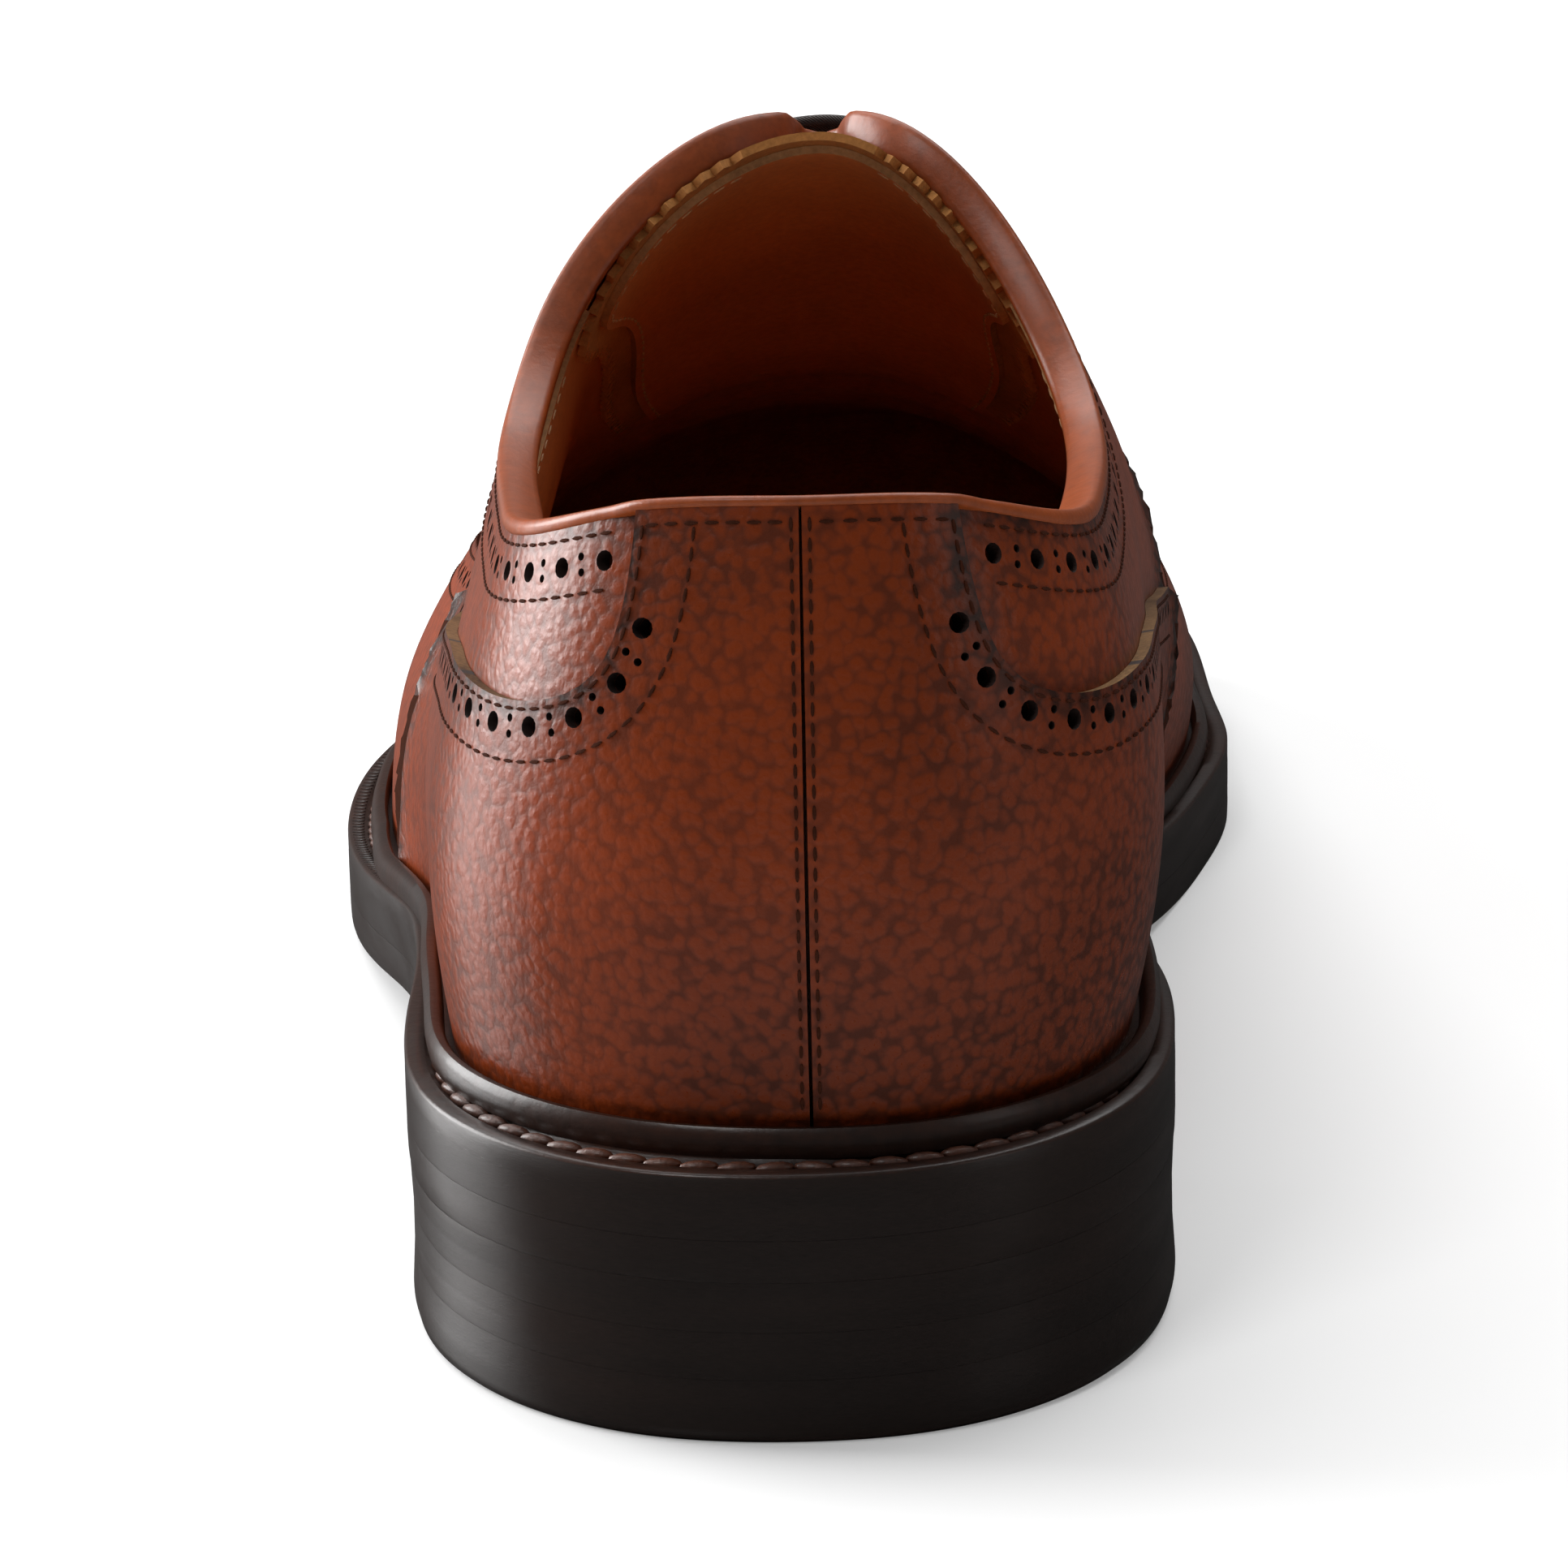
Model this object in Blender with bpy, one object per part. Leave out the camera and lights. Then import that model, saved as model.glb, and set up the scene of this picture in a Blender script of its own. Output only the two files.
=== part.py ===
"""Longwing brogue, left shoe: the upper with its overlays, tongue, insole, laces, welt, soles and heel.

Sizes in the tables are millimetres. X runs to the inner side of the foot, Y from the heel to the toe and Z
up. A place on the upper is given as a pattern cutter would: "along" is the share of the way from the back
seam to the toe tip, and "up" the share of the way from the feather edge to the middle line over the foot.
"""

from collections import namedtuple
from math import cos, pi, radians, sin

import bmesh
import bpy
import numpy as np

MM = 0.001
GAP = 0.3

SOLE_LENGTH = 305.0
HEEL_RISE = 16.4
TOE_SPRING = 9.5
SEAT_FRONT = 46.0
TREAD_BACK = 185.0
TREAD_FRONT = 216.0

OUTSOLE_THICK = 4.2
MIDSOLE_THICK = 3.5
WELT_THICK = 2.5
MIDSOLE_BASE = OUTSOLE_THICK + GAP
WELT_BASE = MIDSOLE_BASE + MIDSOLE_THICK + GAP
WELT_TOP = WELT_BASE + WELT_THICK
UPPER_BASE = WELT_TOP + GAP
INSOLE_TOP = UPPER_BASE + 2.4

UPPER_WALL = 1.6
QUARTER_THICK = 1.5
WING_THICK = 0.9
TAIL_THICK = 1.0
TONGUE_THICK = 1.8
QUARTER_FACE = GAP + QUARTER_THICK
TAIL_FACE = QUARTER_FACE + GAP + TAIL_THICK
WING_FACE = GAP + WING_THICK

# A row for each section across the shoe: its place, the middle line over the foot, and for the outer
# (lat) and inner (med) side the x of the sole's edge and of the upper from its feather edge up
Station = namedtuple(
    "Station",
    "y crown_x crown_z lat_edge lat_feather lat_belly lat_flank lat_shoulder"
    " med_edge med_feather med_belly med_flank med_shoulder",
)
STATIONS = [Station(*row) for row in (
    (48, 2.5, 118, -39.4, -31.4, -33.0, -28.2, -19.6, 39.0, 31.4, 35.0, 32.4, 22.5),
    (70, 3.0, 117, -40.1, -33.4, -35.0, -29.8, -22.2, 38.2, 31.4, 35.6, 33.8, 25.0),
    (92, 3.6, 113.4, -41.8, -35.2, -35.8, -29.4, -23.6, 35.8, 30.4, 36.0, 35.2, 26.6),
    (115, 4.3, 105.6, -44.8, -38.6, -37.8, -29.6, -22.8, 33.4, 29.6, 36.6, 36.8, 27.8),
    (140, 4.5, 91.0, -50.6, -44.0, -42.0, -32.8, -25.0, 36.6, 32.4, 39.6, 39.6, 30.8),
    (165, 4.0, 77.0, -55.8, -49.0, -47.1, -38.8, -28.4, 43.8, 38.2, 43.4, 42.2, 32.8),
    (190, 3.4, 66.0, -57.7, -51.0, -49.4, -43.0, -31.2, 50.6, 44.6, 47.0, 44.0, 33.4),
    (212, 3.4, 58.6, -55.6, -49.4, -48.8, -43.2, -31.4, 54.6, 48.0, 48.8, 44.2, 33.2),
    (234, 3.8, 52.8, -50.4, -44.4, -44.2, -39.8, -29.0, 53.8, 47.4, 47.6, 42.8, 32.0),
)]

# A row for each line that runs round the shoe: its height as a share of the section's, its place "up",
# and how far it lies behind the first section at the heel and before the last one at the toe
Line = namedtuple("Line", "name height_share up heel_depth toe_depth")
LINES = [Line(*row) for row in (
    ("edge", 0.0, None, 48.0, 71.0),
    ("feather", 0.0, 0.0, 37.6, 63.5),
    ("belly", 0.25, 0.19, 40.6, 63.0),
    ("flank", 0.5, 0.38, 37.2, 57.5),
    ("shoulder", 0.76, 0.63, 30.0, 46.0),
    ("crown", 1.0, 1.0, 14.0, 26.0),
)]
# The angles of the sections that fan round the heel and the toe, and how square each end is
HEEL_FAN = (90, 72, 50, 25)
TOE_FAN = (22, 44, 66, 90)
HEEL_ROUNDNESS = 0.90
TOE_ROUNDNESS = 0.96
TOE_TIP_SHIFT = 4.0

# The middle line over the toe, with a row of (y, z) for each point
TOE_CROWN = ((234, 52.8), (248, 49.7), (260, 46.4))

# Edges of the pattern pieces, each a smooth curve through its rows of (along, up)
TOPLINE = (
    (0.0, 0.542), (0.030, 0.540), (0.060, 0.527), (0.110, 0.484), (0.170, 0.462), (0.230, 0.472),
    (0.275, 0.530), (0.305, 0.640), (0.328, 0.780), (0.343, 0.900), (0.358, 0.962),
)
FACING_TOP = (0.375, 0.976)
FACING_END = (0.520, 0.980)
FRONT_EDGE = (
    (0.450, 0.0), (0.457, 0.083), (0.457, 0.157), (0.460, 0.25), (0.469, 0.345),
    (0.484, 0.47), (0.502, 0.63), (0.520, 0.78), (0.534, 0.89), (0.533, 0.955), (0.520, 0.980),
)
TAIL_EDGE = (
    (0.058, 0.580), (0.055, 0.44), (0.061, 0.375), (0.084, 0.338), (0.125, 0.330),
    (0.180, 0.318), (0.250, 0.298), (0.330, 0.292), (0.400, 0.305), (0.480, 0.345),
)
WING_EDGE = (
    (0.455, 0.365), (0.505, 0.405), (0.560, 0.440), (0.611, 0.475), (0.677, 0.530), (0.722, 0.605),
    (0.741, 0.690), (0.741, 0.780), (0.728, 0.870), (0.708, 0.940), (0.684, 1.0),
)
TONGUE_EDGE = (
    (0.565, 1.05), (0.565, 0.72), (0.470, 0.66), (0.390, 0.62), (0.338, 0.60),
    (0.328, 0.66), (0.326, 0.78), (0.332, 0.90), (0.336, 1.05),
)
BACK_SEAM = 0.0005
EDGE_GAP = 0.0018
TAIL_SETBACK = 0.004
TAIL_FRONT_UP = 0.328
WING_REAR_UP = 0.385

HEEL_CELLS, SIDE_CELLS, TOE_CELLS = 8, 18, 9
UP_LINES = (0.0, 0.035, 0.10, 0.19, 0.285, 0.38, 0.47, 0.56, 0.65, 0.74, 0.83, 0.92, 1.0)
EDGE_STEPS = 26

# The welt's rib, and how far it stands out from the upper, with a row of (along, out) for each change
RIB_HEIGHT = 3.0
RIB_SHOULDER = 2.4
RIB_FOOT_WIDTH = 2.2
RIB_HEAD_WIDTH = 1.5
RIB_UP = 0.04
WELT_INNER = 5.0
RIB_CLEARANCE = ((0.0, 3.5), (0.465, 3.5), (0.54, 1.6), (1.0, 1.6))

BREAST_Y = 74.0
BREAST_HOLLOW = 3.0
SHORTEST_CELL = 0.005
Lift = namedtuple("Lift", "name base top base_out top_out")
LIFTS = [Lift(*row) for row in (
    ("top_lift", 0.0, 6.2, 0.8, 0.2),
    ("heel_lift_lower", 6.5, 11.0, 0.0, -0.5),
    ("heel_lift_upper", 11.3, HEEL_RISE - GAP, -0.6, -0.3),
)]

LACE_BARS = 5
FIRST_BAR, LAST_BAR = 0.385, 0.497
BAR_REACH = 0.86
BAR_POINTS, LACE_SIDES = 5, 8
LACE_WIDTH, LACE_THICK = 3.4, 1.7

CHESTNUT = (0.196, 0.040, 0.014, 1)
CHESTNUT_DARK = (0.145, 0.028, 0.010, 1)
TAN = (0.45, 0.17, 0.055, 1)
BLACK_BROWN = (0.020, 0.011, 0.009, 1)
WELT_BROWN = (0.055, 0.022, 0.014, 1)
LACE_BROWN = (0.030, 0.014, 0.009, 1)

# Size of half the upper when it is unrolled flat, in metres, and how close points are made one
FLAT_LENGTH, FLAT_HEIGHT = 0.36, 0.11
WELD = 0.00003
BEYOND = 0.1
KNIFE_REACH = 0.02


def ground_rise(y):
    """How high the sole's underside is over the ground, in mm."""
    arch = np.clip((TREAD_BACK - y) / (TREAD_BACK - SEAT_FRONT), 0, 1)
    toe = np.clip((y - TREAD_FRONT) / (SOLE_LENGTH - TREAD_FRONT), 0, None)
    return HEEL_RISE * arch**2 * (3 - 2 * arch) + TOE_SPRING * toe**2


class Spline:
    """The smooth cubic curve through a row of points, open or closed on itself."""

    def __init__(self, places, points, closed=False):
        self.places = np.asarray(places, float)
        self.points = np.asarray(points, float)
        count = len(self.places)
        gaps = np.diff(self.places)
        chords = np.diff(self.points, axis=0) / gaps[:, None]
        equations = np.zeros((count, count))
        wanted = np.zeros_like(self.points)
        for i in range(1, count - 1):
            equations[i, i - 1 : i + 2] = gaps[i], 2 * (gaps[i - 1] + gaps[i]), gaps[i - 1]
            wanted[i] = 3 * (gaps[i] * chords[i - 1] + gaps[i - 1] * chords[i])
        if closed:
            equations[0, [-2, 0, 1]] = gaps[0], 2 * (gaps[-1] + gaps[0]), gaps[-1]
            wanted[0] = 3 * (gaps[0] * chords[-1] + gaps[-1] * chords[0])
            equations[-1, [0, -1]] = 1, -1
        else:
            equations[0, :2] = 2, 1
            equations[-1, -2:] = 1, 2
            wanted[0] = 3 * chords[0]
            wanted[-1] = 3 * chords[-1]
        self.slopes = np.linalg.solve(equations, wanted)

    def at(self, place):
        place = np.asarray(place, float)
        i = np.clip(np.searchsorted(self.places, place, side="right") - 1, 0, len(self.places) - 2)
        gap = (self.places[i + 1] - self.places[i])[..., None]
        t = (place - self.places[i])[..., None] / gap
        start = (2 * t**3 - 3 * t**2 + 1) * self.points[i] + (t**3 - 2 * t**2 + t) * gap * self.slopes[i]
        end = (3 * t**2 - 2 * t**3) * self.points[i + 1] + (t**3 - t**2) * gap * self.slopes[i + 1]
        return start + end


def section_rows(side):
    """The places of all lines, section by section, from the back seam to the toe tip on one side."""
    first, last = STATIONS[0], STATIONS[-1]
    toe_crown = Spline(*zip(*[(y, (z,)) for y, z in TOE_CROWN]))

    def widths(station):
        return [getattr(station, f"{side}_{line.name}") for line in LINES[:-1]] + [station.crown_x]

    rows = []
    for angle in HEEL_FAN:
        out = max(cos(radians(angle)), 0) ** HEEL_ROUNDNESS
        back = sin(radians(angle)) ** HEEL_ROUNDNESS
        row = []
        for line, width in zip(LINES, widths(first)):
            middle = 0 if line.name == "edge" else first.crown_x
            row.append((middle + (width - middle) * out, first.y - line.heel_depth * back))
        rows.append((row, first.crown_z))
    for station in STATIONS:
        rows.append(([(width, station.y) for width in widths(station)], station.crown_z))
    for angle in TOE_FAN:
        out = max(cos(radians(angle)), 0) ** TOE_ROUNDNESS
        ahead = sin(radians(angle)) ** TOE_ROUNDNESS
        row = []
        for line, width in zip(LINES, widths(last)):
            shift = TOE_TIP_SHIFT * ahead * (0.5 if line.name == "crown" else 1)
            across = last.crown_x + shift + (width - last.crown_x) * out
            row.append((across, last.y + line.toe_depth * ahead))
        rows.append((row, float(toe_crown.at(row[-1][1])[0])))

    placed = []
    for row, crown_z in rows:
        base = UPPER_BASE + float(ground_rise(row[1][1]))
        heights = [base + (crown_z - base) * line.height_share for line in LINES]
        placed.append([(x, y, z) for (x, y), z in zip(row, heights)])
    return np.array(placed)


SECTIONS = {"lat": section_rows("lat"), "med": section_rows("med")}
STRIDES = sum(np.linalg.norm(np.diff(rows[:, 2], axis=0), axis=1) for rows in SECTIONS.values())
SECTION_ALONG = np.concatenate([[0], np.cumsum(STRIDES)]) / STRIDES.sum()
LOOP_PLACES = np.concatenate([SECTION_ALONG, 2 - SECTION_ALONG[-2::-1]])
LOOPS = [
    Spline(LOOP_PLACES, np.vstack([SECTIONS["lat"][:, i], SECTIONS["med"][-2::-1, i]]), closed=True)
    for i in range(len(LINES))
]
LINE_UP = np.array([line.up for line in LINES[1:]])
LINE_GAPS = np.diff(LINE_UP)
CROWN_FULLNESS = 1.25
CROWN_FIRST, CROWN_LAST = 0.16, 0.985
CROWN_UP, FOOT_UP = 0.995, 0.06
RUN_STEP, NORMAL_STEP = 0.002, 0.001


def round_place(side, along):
    return np.mod(along if side == "lat" else 2 - along, 2)


def crown_slope(along):
    """The fall of the middle line over the foot, which both sides meet at one tangent."""
    inside = np.clip(along, CROWN_FIRST, CROWN_LAST)
    ahead, behind = LOOPS[-1].at(inside + RUN_STEP), LOOPS[-1].at(inside - RUN_STEP)
    return (ahead[..., 2] - behind[..., 2]) / (ahead[..., 1] - behind[..., 1])


def across_equations():
    count = len(LINE_UP)
    equations = np.zeros((count, count))
    for i in range(1, count - 1):
        equations[i, i - 1 : i + 2] = LINE_GAPS[i], 2 * (LINE_GAPS[i - 1] + LINE_GAPS[i]), LINE_GAPS[i - 1]
    equations[0, :2] = 2, 1
    equations[-1, -1] = 1
    return np.linalg.inv(equations)


ACROSS = across_equations()


def upper_surface(side, along, up):
    """Points of the upper's outer face, in mm."""
    along, up = np.broadcast_arrays(np.asarray(along, float), np.asarray(up, float))
    points = np.stack([loop.at(round_place(side, along)) for loop in LOOPS[1:]], axis=-2)
    chords = np.diff(points, axis=-2) / LINE_GAPS[:, None]
    wanted = np.zeros_like(points)
    wanted[..., 0, :] = 3 * chords[..., 0, :]
    for i in range(1, len(LINE_UP) - 1):
        wanted[..., i, :] = 3 * (LINE_GAPS[i] * chords[..., i - 1, :] + LINE_GAPS[i - 1] * chords[..., i, :])
    over = CROWN_FULLNESS * chords[..., -1, :]
    over[..., 2] = crown_slope(along) * over[..., 1]
    wanted[..., -1, :] = over
    slopes = np.einsum("ij,...jk->...ik", ACROSS, wanted)

    i = np.clip(np.searchsorted(LINE_UP, up, side="right") - 1, 0, len(LINE_GAPS) - 1)
    gap = LINE_GAPS[i][..., None]
    t = (up - LINE_UP[i])[..., None] / gap

    def pick(values, index):
        return np.take_along_axis(values, index[..., None, None], axis=-2)[..., 0, :]

    start = (2 * t**3 - 3 * t**2 + 1) * pick(points, i) + (t**3 - 2 * t**2 + t) * gap * pick(slopes, i)
    end = (3 * t**2 - 2 * t**3) * pick(points, i + 1) + (t**3 - t**2) * gap * pick(slopes, i + 1)
    return start + end


def upper_normal(side, along, up):
    along, up = np.broadcast_arrays(np.asarray(along, float), np.asarray(up, float))
    ahead, behind = along + NORMAL_STEP, along - NORMAL_STEP
    forward = upper_surface(side, ahead, up) - upper_surface(side, behind, up)
    higher, lower = np.clip(up + NORMAL_STEP, 0, 1), np.clip(up - NORMAL_STEP, 0, 1)
    upward = upper_surface(side, along, higher) - upper_surface(side, along, lower)
    normal = np.cross(upward, forward) if side == "lat" else np.cross(forward, upward)
    fall = crown_slope(along)
    level = np.stack([0 * fall, -fall, np.ones_like(fall)], axis=-1)
    normal = np.where((up > CROWN_UP)[..., None], level, normal)
    normal = normal / np.linalg.norm(normal, axis=-1, keepdims=True)
    # At the feather edge every layer stands on the welt, so it is offset level with the ground
    normal[..., 2] *= np.clip(up / FOOT_UP, 0, 1)
    return normal / np.linalg.norm(normal, axis=-1, keepdims=True)


def layer_point(side, along, up, out):
    """A point that lies `out` mm outside the upper's outer face."""
    return upper_surface(side, along, up) + upper_normal(side, along, up) * np.asarray(out)[..., None]


def edge_line(side, along, out=0.0):
    """Points of the sole's outline, moved out by `out` mm, with z left at 0."""
    along = np.asarray(along, float)
    place = round_place(side, along)
    here = LOOPS[0].at(place)[..., :2]
    ahead, behind = LOOPS[0].at(np.mod(place + RUN_STEP, 2)), LOOPS[0].at(np.mod(place - RUN_STEP, 2))
    run = ahead[..., :2] - behind[..., :2]
    run /= np.linalg.norm(run, axis=-1, keepdims=True)
    moved = here + np.stack([-run[..., 1], run[..., 0]], axis=-1) * np.asarray(out)[..., None]
    return np.concatenate([moved, np.zeros_like(moved[..., :1])], axis=-1)


def along_lines():
    heel = np.linspace(0, SECTION_ALONG[len(HEEL_FAN)], HEEL_CELLS + 1)
    side = np.linspace(heel[-1], SECTION_ALONG[-len(TOE_FAN) - 1], SIDE_CELLS + 1)
    toe = np.linspace(side[-1], 1, TOE_CELLS + 1)
    return np.concatenate([heel, side[1:], toe[1:]])


ALL_ALONG = along_lines()
HEEL_OUT = LIFTS[0].base_out * (ALL_ALONG < SECTION_ALONG[len(HEEL_FAN)])
OUTLINE = np.vstack([edge_line(side, ALL_ALONG, HEEL_OUT) for side in ("lat", "med")])
ORIGIN = np.append((OUTLINE.min(axis=0) + OUTLINE.max(axis=0))[:2] / 2, 0)


def to_world(points):
    return (np.asarray(points) - ORIGIN) * MM


def clear_scene():
    for obj in list(bpy.data.objects):
        bpy.data.objects.remove(obj, do_unlink=True)


def finish_material(name, color, roughness):
    material = bpy.data.materials.new(name)
    material.use_nodes = True
    shader = material.node_tree.nodes["Principled BSDF"]
    shader.inputs["Base Color"].default_value = color
    shader.inputs["Roughness"].default_value = roughness
    shader.inputs["Metallic"].default_value = 0.0
    return material


def add_object(name, bm, material, sharp_degrees=40):
    bmesh.ops.recalc_face_normals(bm, faces=bm.faces)
    mesh = bpy.data.meshes.new(name)
    bm.to_mesh(mesh)
    bm.free()
    mesh.shade_smooth()
    mesh.set_sharp_from_angle(angle=radians(sharp_degrees))
    mesh.materials.append(material)
    obj = bpy.data.objects.new(name, mesh)
    bpy.context.scene.collection.objects.link(obj)
    return obj


def curve_through(rows, steps=EDGE_STEPS):
    """Points along the smooth curve through a pattern table's rows."""
    rows = np.array(rows, float)
    strides = np.linalg.norm(np.diff(rows * (FLAT_LENGTH, FLAT_HEIGHT), axis=0), axis=1)
    places = np.concatenate([[0], np.cumsum(strides)])
    return [tuple(point) for point in Spline(places, rows).at(np.linspace(0, places[-1], steps))]


def flat_sheet(low, high):
    """Half of the upper, unrolled flat and ruled into cells, from `low` to `high` mm outside its face."""
    lines = along_lines()
    bm = bmesh.new()
    bmesh.ops.create_grid(bm, x_segments=len(lines) - 1, y_segments=len(UP_LINES) - 1, size=0.5)
    for vert in bm.verts:
        column = round((vert.co.x + 0.5) * (len(lines) - 1))
        row = round((vert.co.y + 0.5) * (len(UP_LINES) - 1))
        vert.co = (lines[column] * FLAT_LENGTH, UP_LINES[row] * FLAT_HEIGHT, low * MM)
    raised = bmesh.ops.extrude_face_region(bm, geom=bm.faces[:], use_keep_orig=True)["geom"]
    bmesh.ops.translate(
        bm, verts=[v for v in raised if isinstance(v, bmesh.types.BMVert)], vec=(0, 0, (high - low) * MM)
    )
    bmesh.ops.recalc_face_normals(bm, faces=bm.faces)
    mesh = bpy.data.meshes.new("flat_sheet")
    bm.to_mesh(mesh)
    bm.free()
    sheet = bpy.data.objects.new("flat_sheet", mesh)
    bpy.context.scene.collection.objects.link(sheet)
    return sheet


def pattern_knife(outline):
    """A straight-sided cutter of a pattern piece's outline."""
    bm = bmesh.new()
    corners = [
        bm.verts.new((along * FLAT_LENGTH, up * FLAT_HEIGHT, -KNIFE_REACH)) for along, up in outline
    ]
    face = bm.faces.new(corners)
    raised = bmesh.ops.extrude_face_region(bm, geom=[face], use_keep_orig=True)["geom"]
    bmesh.ops.translate(
        bm, verts=[v for v in raised if isinstance(v, bmesh.types.BMVert)], vec=(0, 0, 2 * KNIFE_REACH)
    )
    bmesh.ops.recalc_face_normals(bm, faces=bm.faces)
    mesh = bpy.data.meshes.new("pattern_knife")
    bm.to_mesh(mesh)
    bm.free()
    knife = bpy.data.objects.new("pattern_knife", mesh)
    knife.hide_render = True
    knife.display_type = "WIRE"
    bpy.context.scene.collection.objects.link(knife)
    return knife


def cut_piece(outline, low, high):
    """The flat sheet inside the outline, as a mesh."""
    sheet, knife = flat_sheet(low, high), pattern_knife(outline)
    cut = sheet.modifiers.new("cut", "BOOLEAN")
    cut.operation = "INTERSECT"
    cut.object = knife
    graph = bpy.context.evaluated_depsgraph_get()
    mesh = bpy.data.meshes.new_from_object(sheet.evaluated_get(graph))
    for obj in (sheet, knife):
        bpy.data.objects.remove(obj, do_unlink=True)
    return mesh


def wrap(bm, flat, side, open_lines):
    """Adds a flat piece to `bm`, wrapped on one side of the last and open along the named seams."""
    piece = bmesh.new()
    piece.from_mesh(flat)
    places = np.array([v.co[:] for v in piece.verts])
    along, up, out = places[:, 0] / FLAT_LENGTH, places[:, 1] / FLAT_HEIGHT, places[:, 2] / MM
    on_seam = {
        "toe": np.isclose(along, 1),
        "crown": np.isclose(up, 1),
        "back": np.isclose(along, 0, atol=1e-5),
    }
    walls = [
        face
        for face in piece.faces
        if any(all(on_seam[line][v.index] for v in face.verts) for line in open_lines)
    ]
    bmesh.ops.delete(piece, geom=walls, context="FACES_ONLY")
    for vert, point in zip(piece.verts, to_world(layer_point(side, along, up, out))):
        vert.co = point
    if side == "med":
        bmesh.ops.reverse_faces(piece, faces=piece.faces)
    mesh = bpy.data.meshes.new("wrapped")
    piece.to_mesh(mesh)
    piece.free()
    bm.from_mesh(mesh)
    bpy.data.meshes.remove(mesh)


def leather_piece(name, outline, low, high, material, open_lines=("toe", "crown")):
    """One solid that covers both sides of the shoe and is joined along the open lines."""
    flat = cut_piece(outline, low, high)
    bm = bmesh.new()
    for side in ("lat", "med"):
        wrap(bm, flat, side, open_lines)
    bmesh.ops.remove_doubles(bm, verts=bm.verts, dist=WELD)
    add_object(name, bm, material)


def leather_pair(name, outline, low, high, material):
    """A piece on each side, kept apart at the back seam."""
    flat = cut_piece(outline, low, high)
    for side, word in (("lat", "lateral"), ("med", "medial")):
        bm = bmesh.new()
        wrap(bm, flat, side, ())
        bmesh.ops.remove_doubles(bm, verts=bm.verts, dist=WELD)
        add_object(f"{name}_{word}", bm, material)


def shifted(points, along):
    return [(place + along, up) for place, up in points]


def below(points, up):
    return [point for point in points if point[1] < up]


def topline_piece(first, last):
    """The topline between two places, with its ends exactly there."""
    whole = curve_through(TOPLINE)
    between = [point for point in whole if first < point[0] < last]
    ups = np.interp((first, last), *zip(*whole))
    return [(first, ups[0])] + between + [(last, ups[1])]


def add_upper(material):
    outline = [(-BEYOND, -BEYOND), (1 + BEYOND, -BEYOND), (1 + BEYOND, 1 + BEYOND)]
    outline += [(FACING_END[0], 1 + BEYOND), FACING_END, FACING_TOP]
    outline += curve_through(TOPLINE)[::-1] + [(-BEYOND, TOPLINE[0][1])]
    leather_piece("upper", outline, -UPPER_WALL, 0.0, material, open_lines=("toe", "crown", "back"))


def add_quarters(material):
    front = curve_through(FRONT_EDGE)
    outline = [(BACK_SEAM, -BEYOND), (front[0][0], -BEYOND)] + front + [FACING_TOP]
    outline += topline_piece(BACK_SEAM, TOPLINE[-1][0])[::-1]
    leather_pair("quarter", outline, GAP, QUARTER_FACE, material)


def add_tails(material):
    """The long wings' rear ends, which cross the quarters and cover the heel."""
    front = below(shifted(curve_through(FRONT_EDGE), -TAIL_SETBACK), TAIL_FRONT_UP)
    top = topline_piece(BACK_SEAM, TAIL_EDGE[0][0])
    edge = [p for p in below(curve_through(TAIL_EDGE), top[-1][1]) if p[0] < front[-1][0]]
    outline = [(BACK_SEAM, -BEYOND), (front[0][0], -BEYOND)] + front + edge[::-1] + top[::-1]
    leather_pair("wing_tail", outline, QUARTER_FACE + GAP, TAIL_FACE, material)


def add_wing_cap(material):
    front = below(shifted(curve_through(FRONT_EDGE), EDGE_GAP), WING_REAR_UP)
    edge = [point for point in curve_through(WING_EDGE) if point[0] > front[-1][0] + EDGE_GAP]
    outline = [(front[0][0], -BEYOND), (1 + BEYOND, -BEYOND), (1 + BEYOND, 1 + BEYOND)]
    outline += [(WING_EDGE[-1][0], 1 + BEYOND)] + edge[::-1] + front[::-1]
    leather_piece("wing_cap", outline, GAP, WING_FACE, material)


def add_tongue(material):
    foot, *edge, top = TONGUE_EDGE
    inside = -UPPER_WALL - GAP
    leather_piece("tongue", [foot] + curve_through(edge) + [top], inside - TONGUE_THICK, inside, material)


def ladder(name, rows_low, rows_high, material):
    """A solid sheet between two faces, each given as rows of (outer, middle, inner) points."""
    bm = bmesh.new()

    def corners(rows):
        return [[bm.verts.new(point) for point in to_world(row)] for row in rows]

    low, high = corners(rows_low), corners(rows_high)
    for (low_here, low_next), (high_here, high_next) in zip(zip(low, low[1:]), zip(high, high[1:])):
        for i in (0, 1):
            bm.faces.new((low_here[i], low_here[i + 1], low_next[i + 1], low_next[i]))
            bm.faces.new((high_here[i], high_next[i], high_next[i + 1], high_here[i + 1]))
        for i in (0, 2):
            bm.faces.new((low_here[i], low_next[i], high_next[i], high_here[i]))
    for end in (0, -1):
        for i in (0, 1):
            bm.faces.new((low[end][i], high[end][i], high[end][i + 1], low[end][i + 1]))
    bmesh.ops.remove_doubles(bm, verts=bm.verts, dist=WELD)
    add_object(name, bm, material)


def sheet_rows(lines, outline, height, hollow=0.0):
    """Rows of (outer, middle, inner) points across the sole. `hollow` draws the last row's middle back."""
    outer, inner = outline("lat", lines), outline("med", lines)
    middle = (outer + inner) / 2
    middle[-1, 1] -= hollow
    rows = np.stack([outer, middle, inner], axis=1)
    rows[..., 2] = height(rows[..., 1])
    return rows


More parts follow.
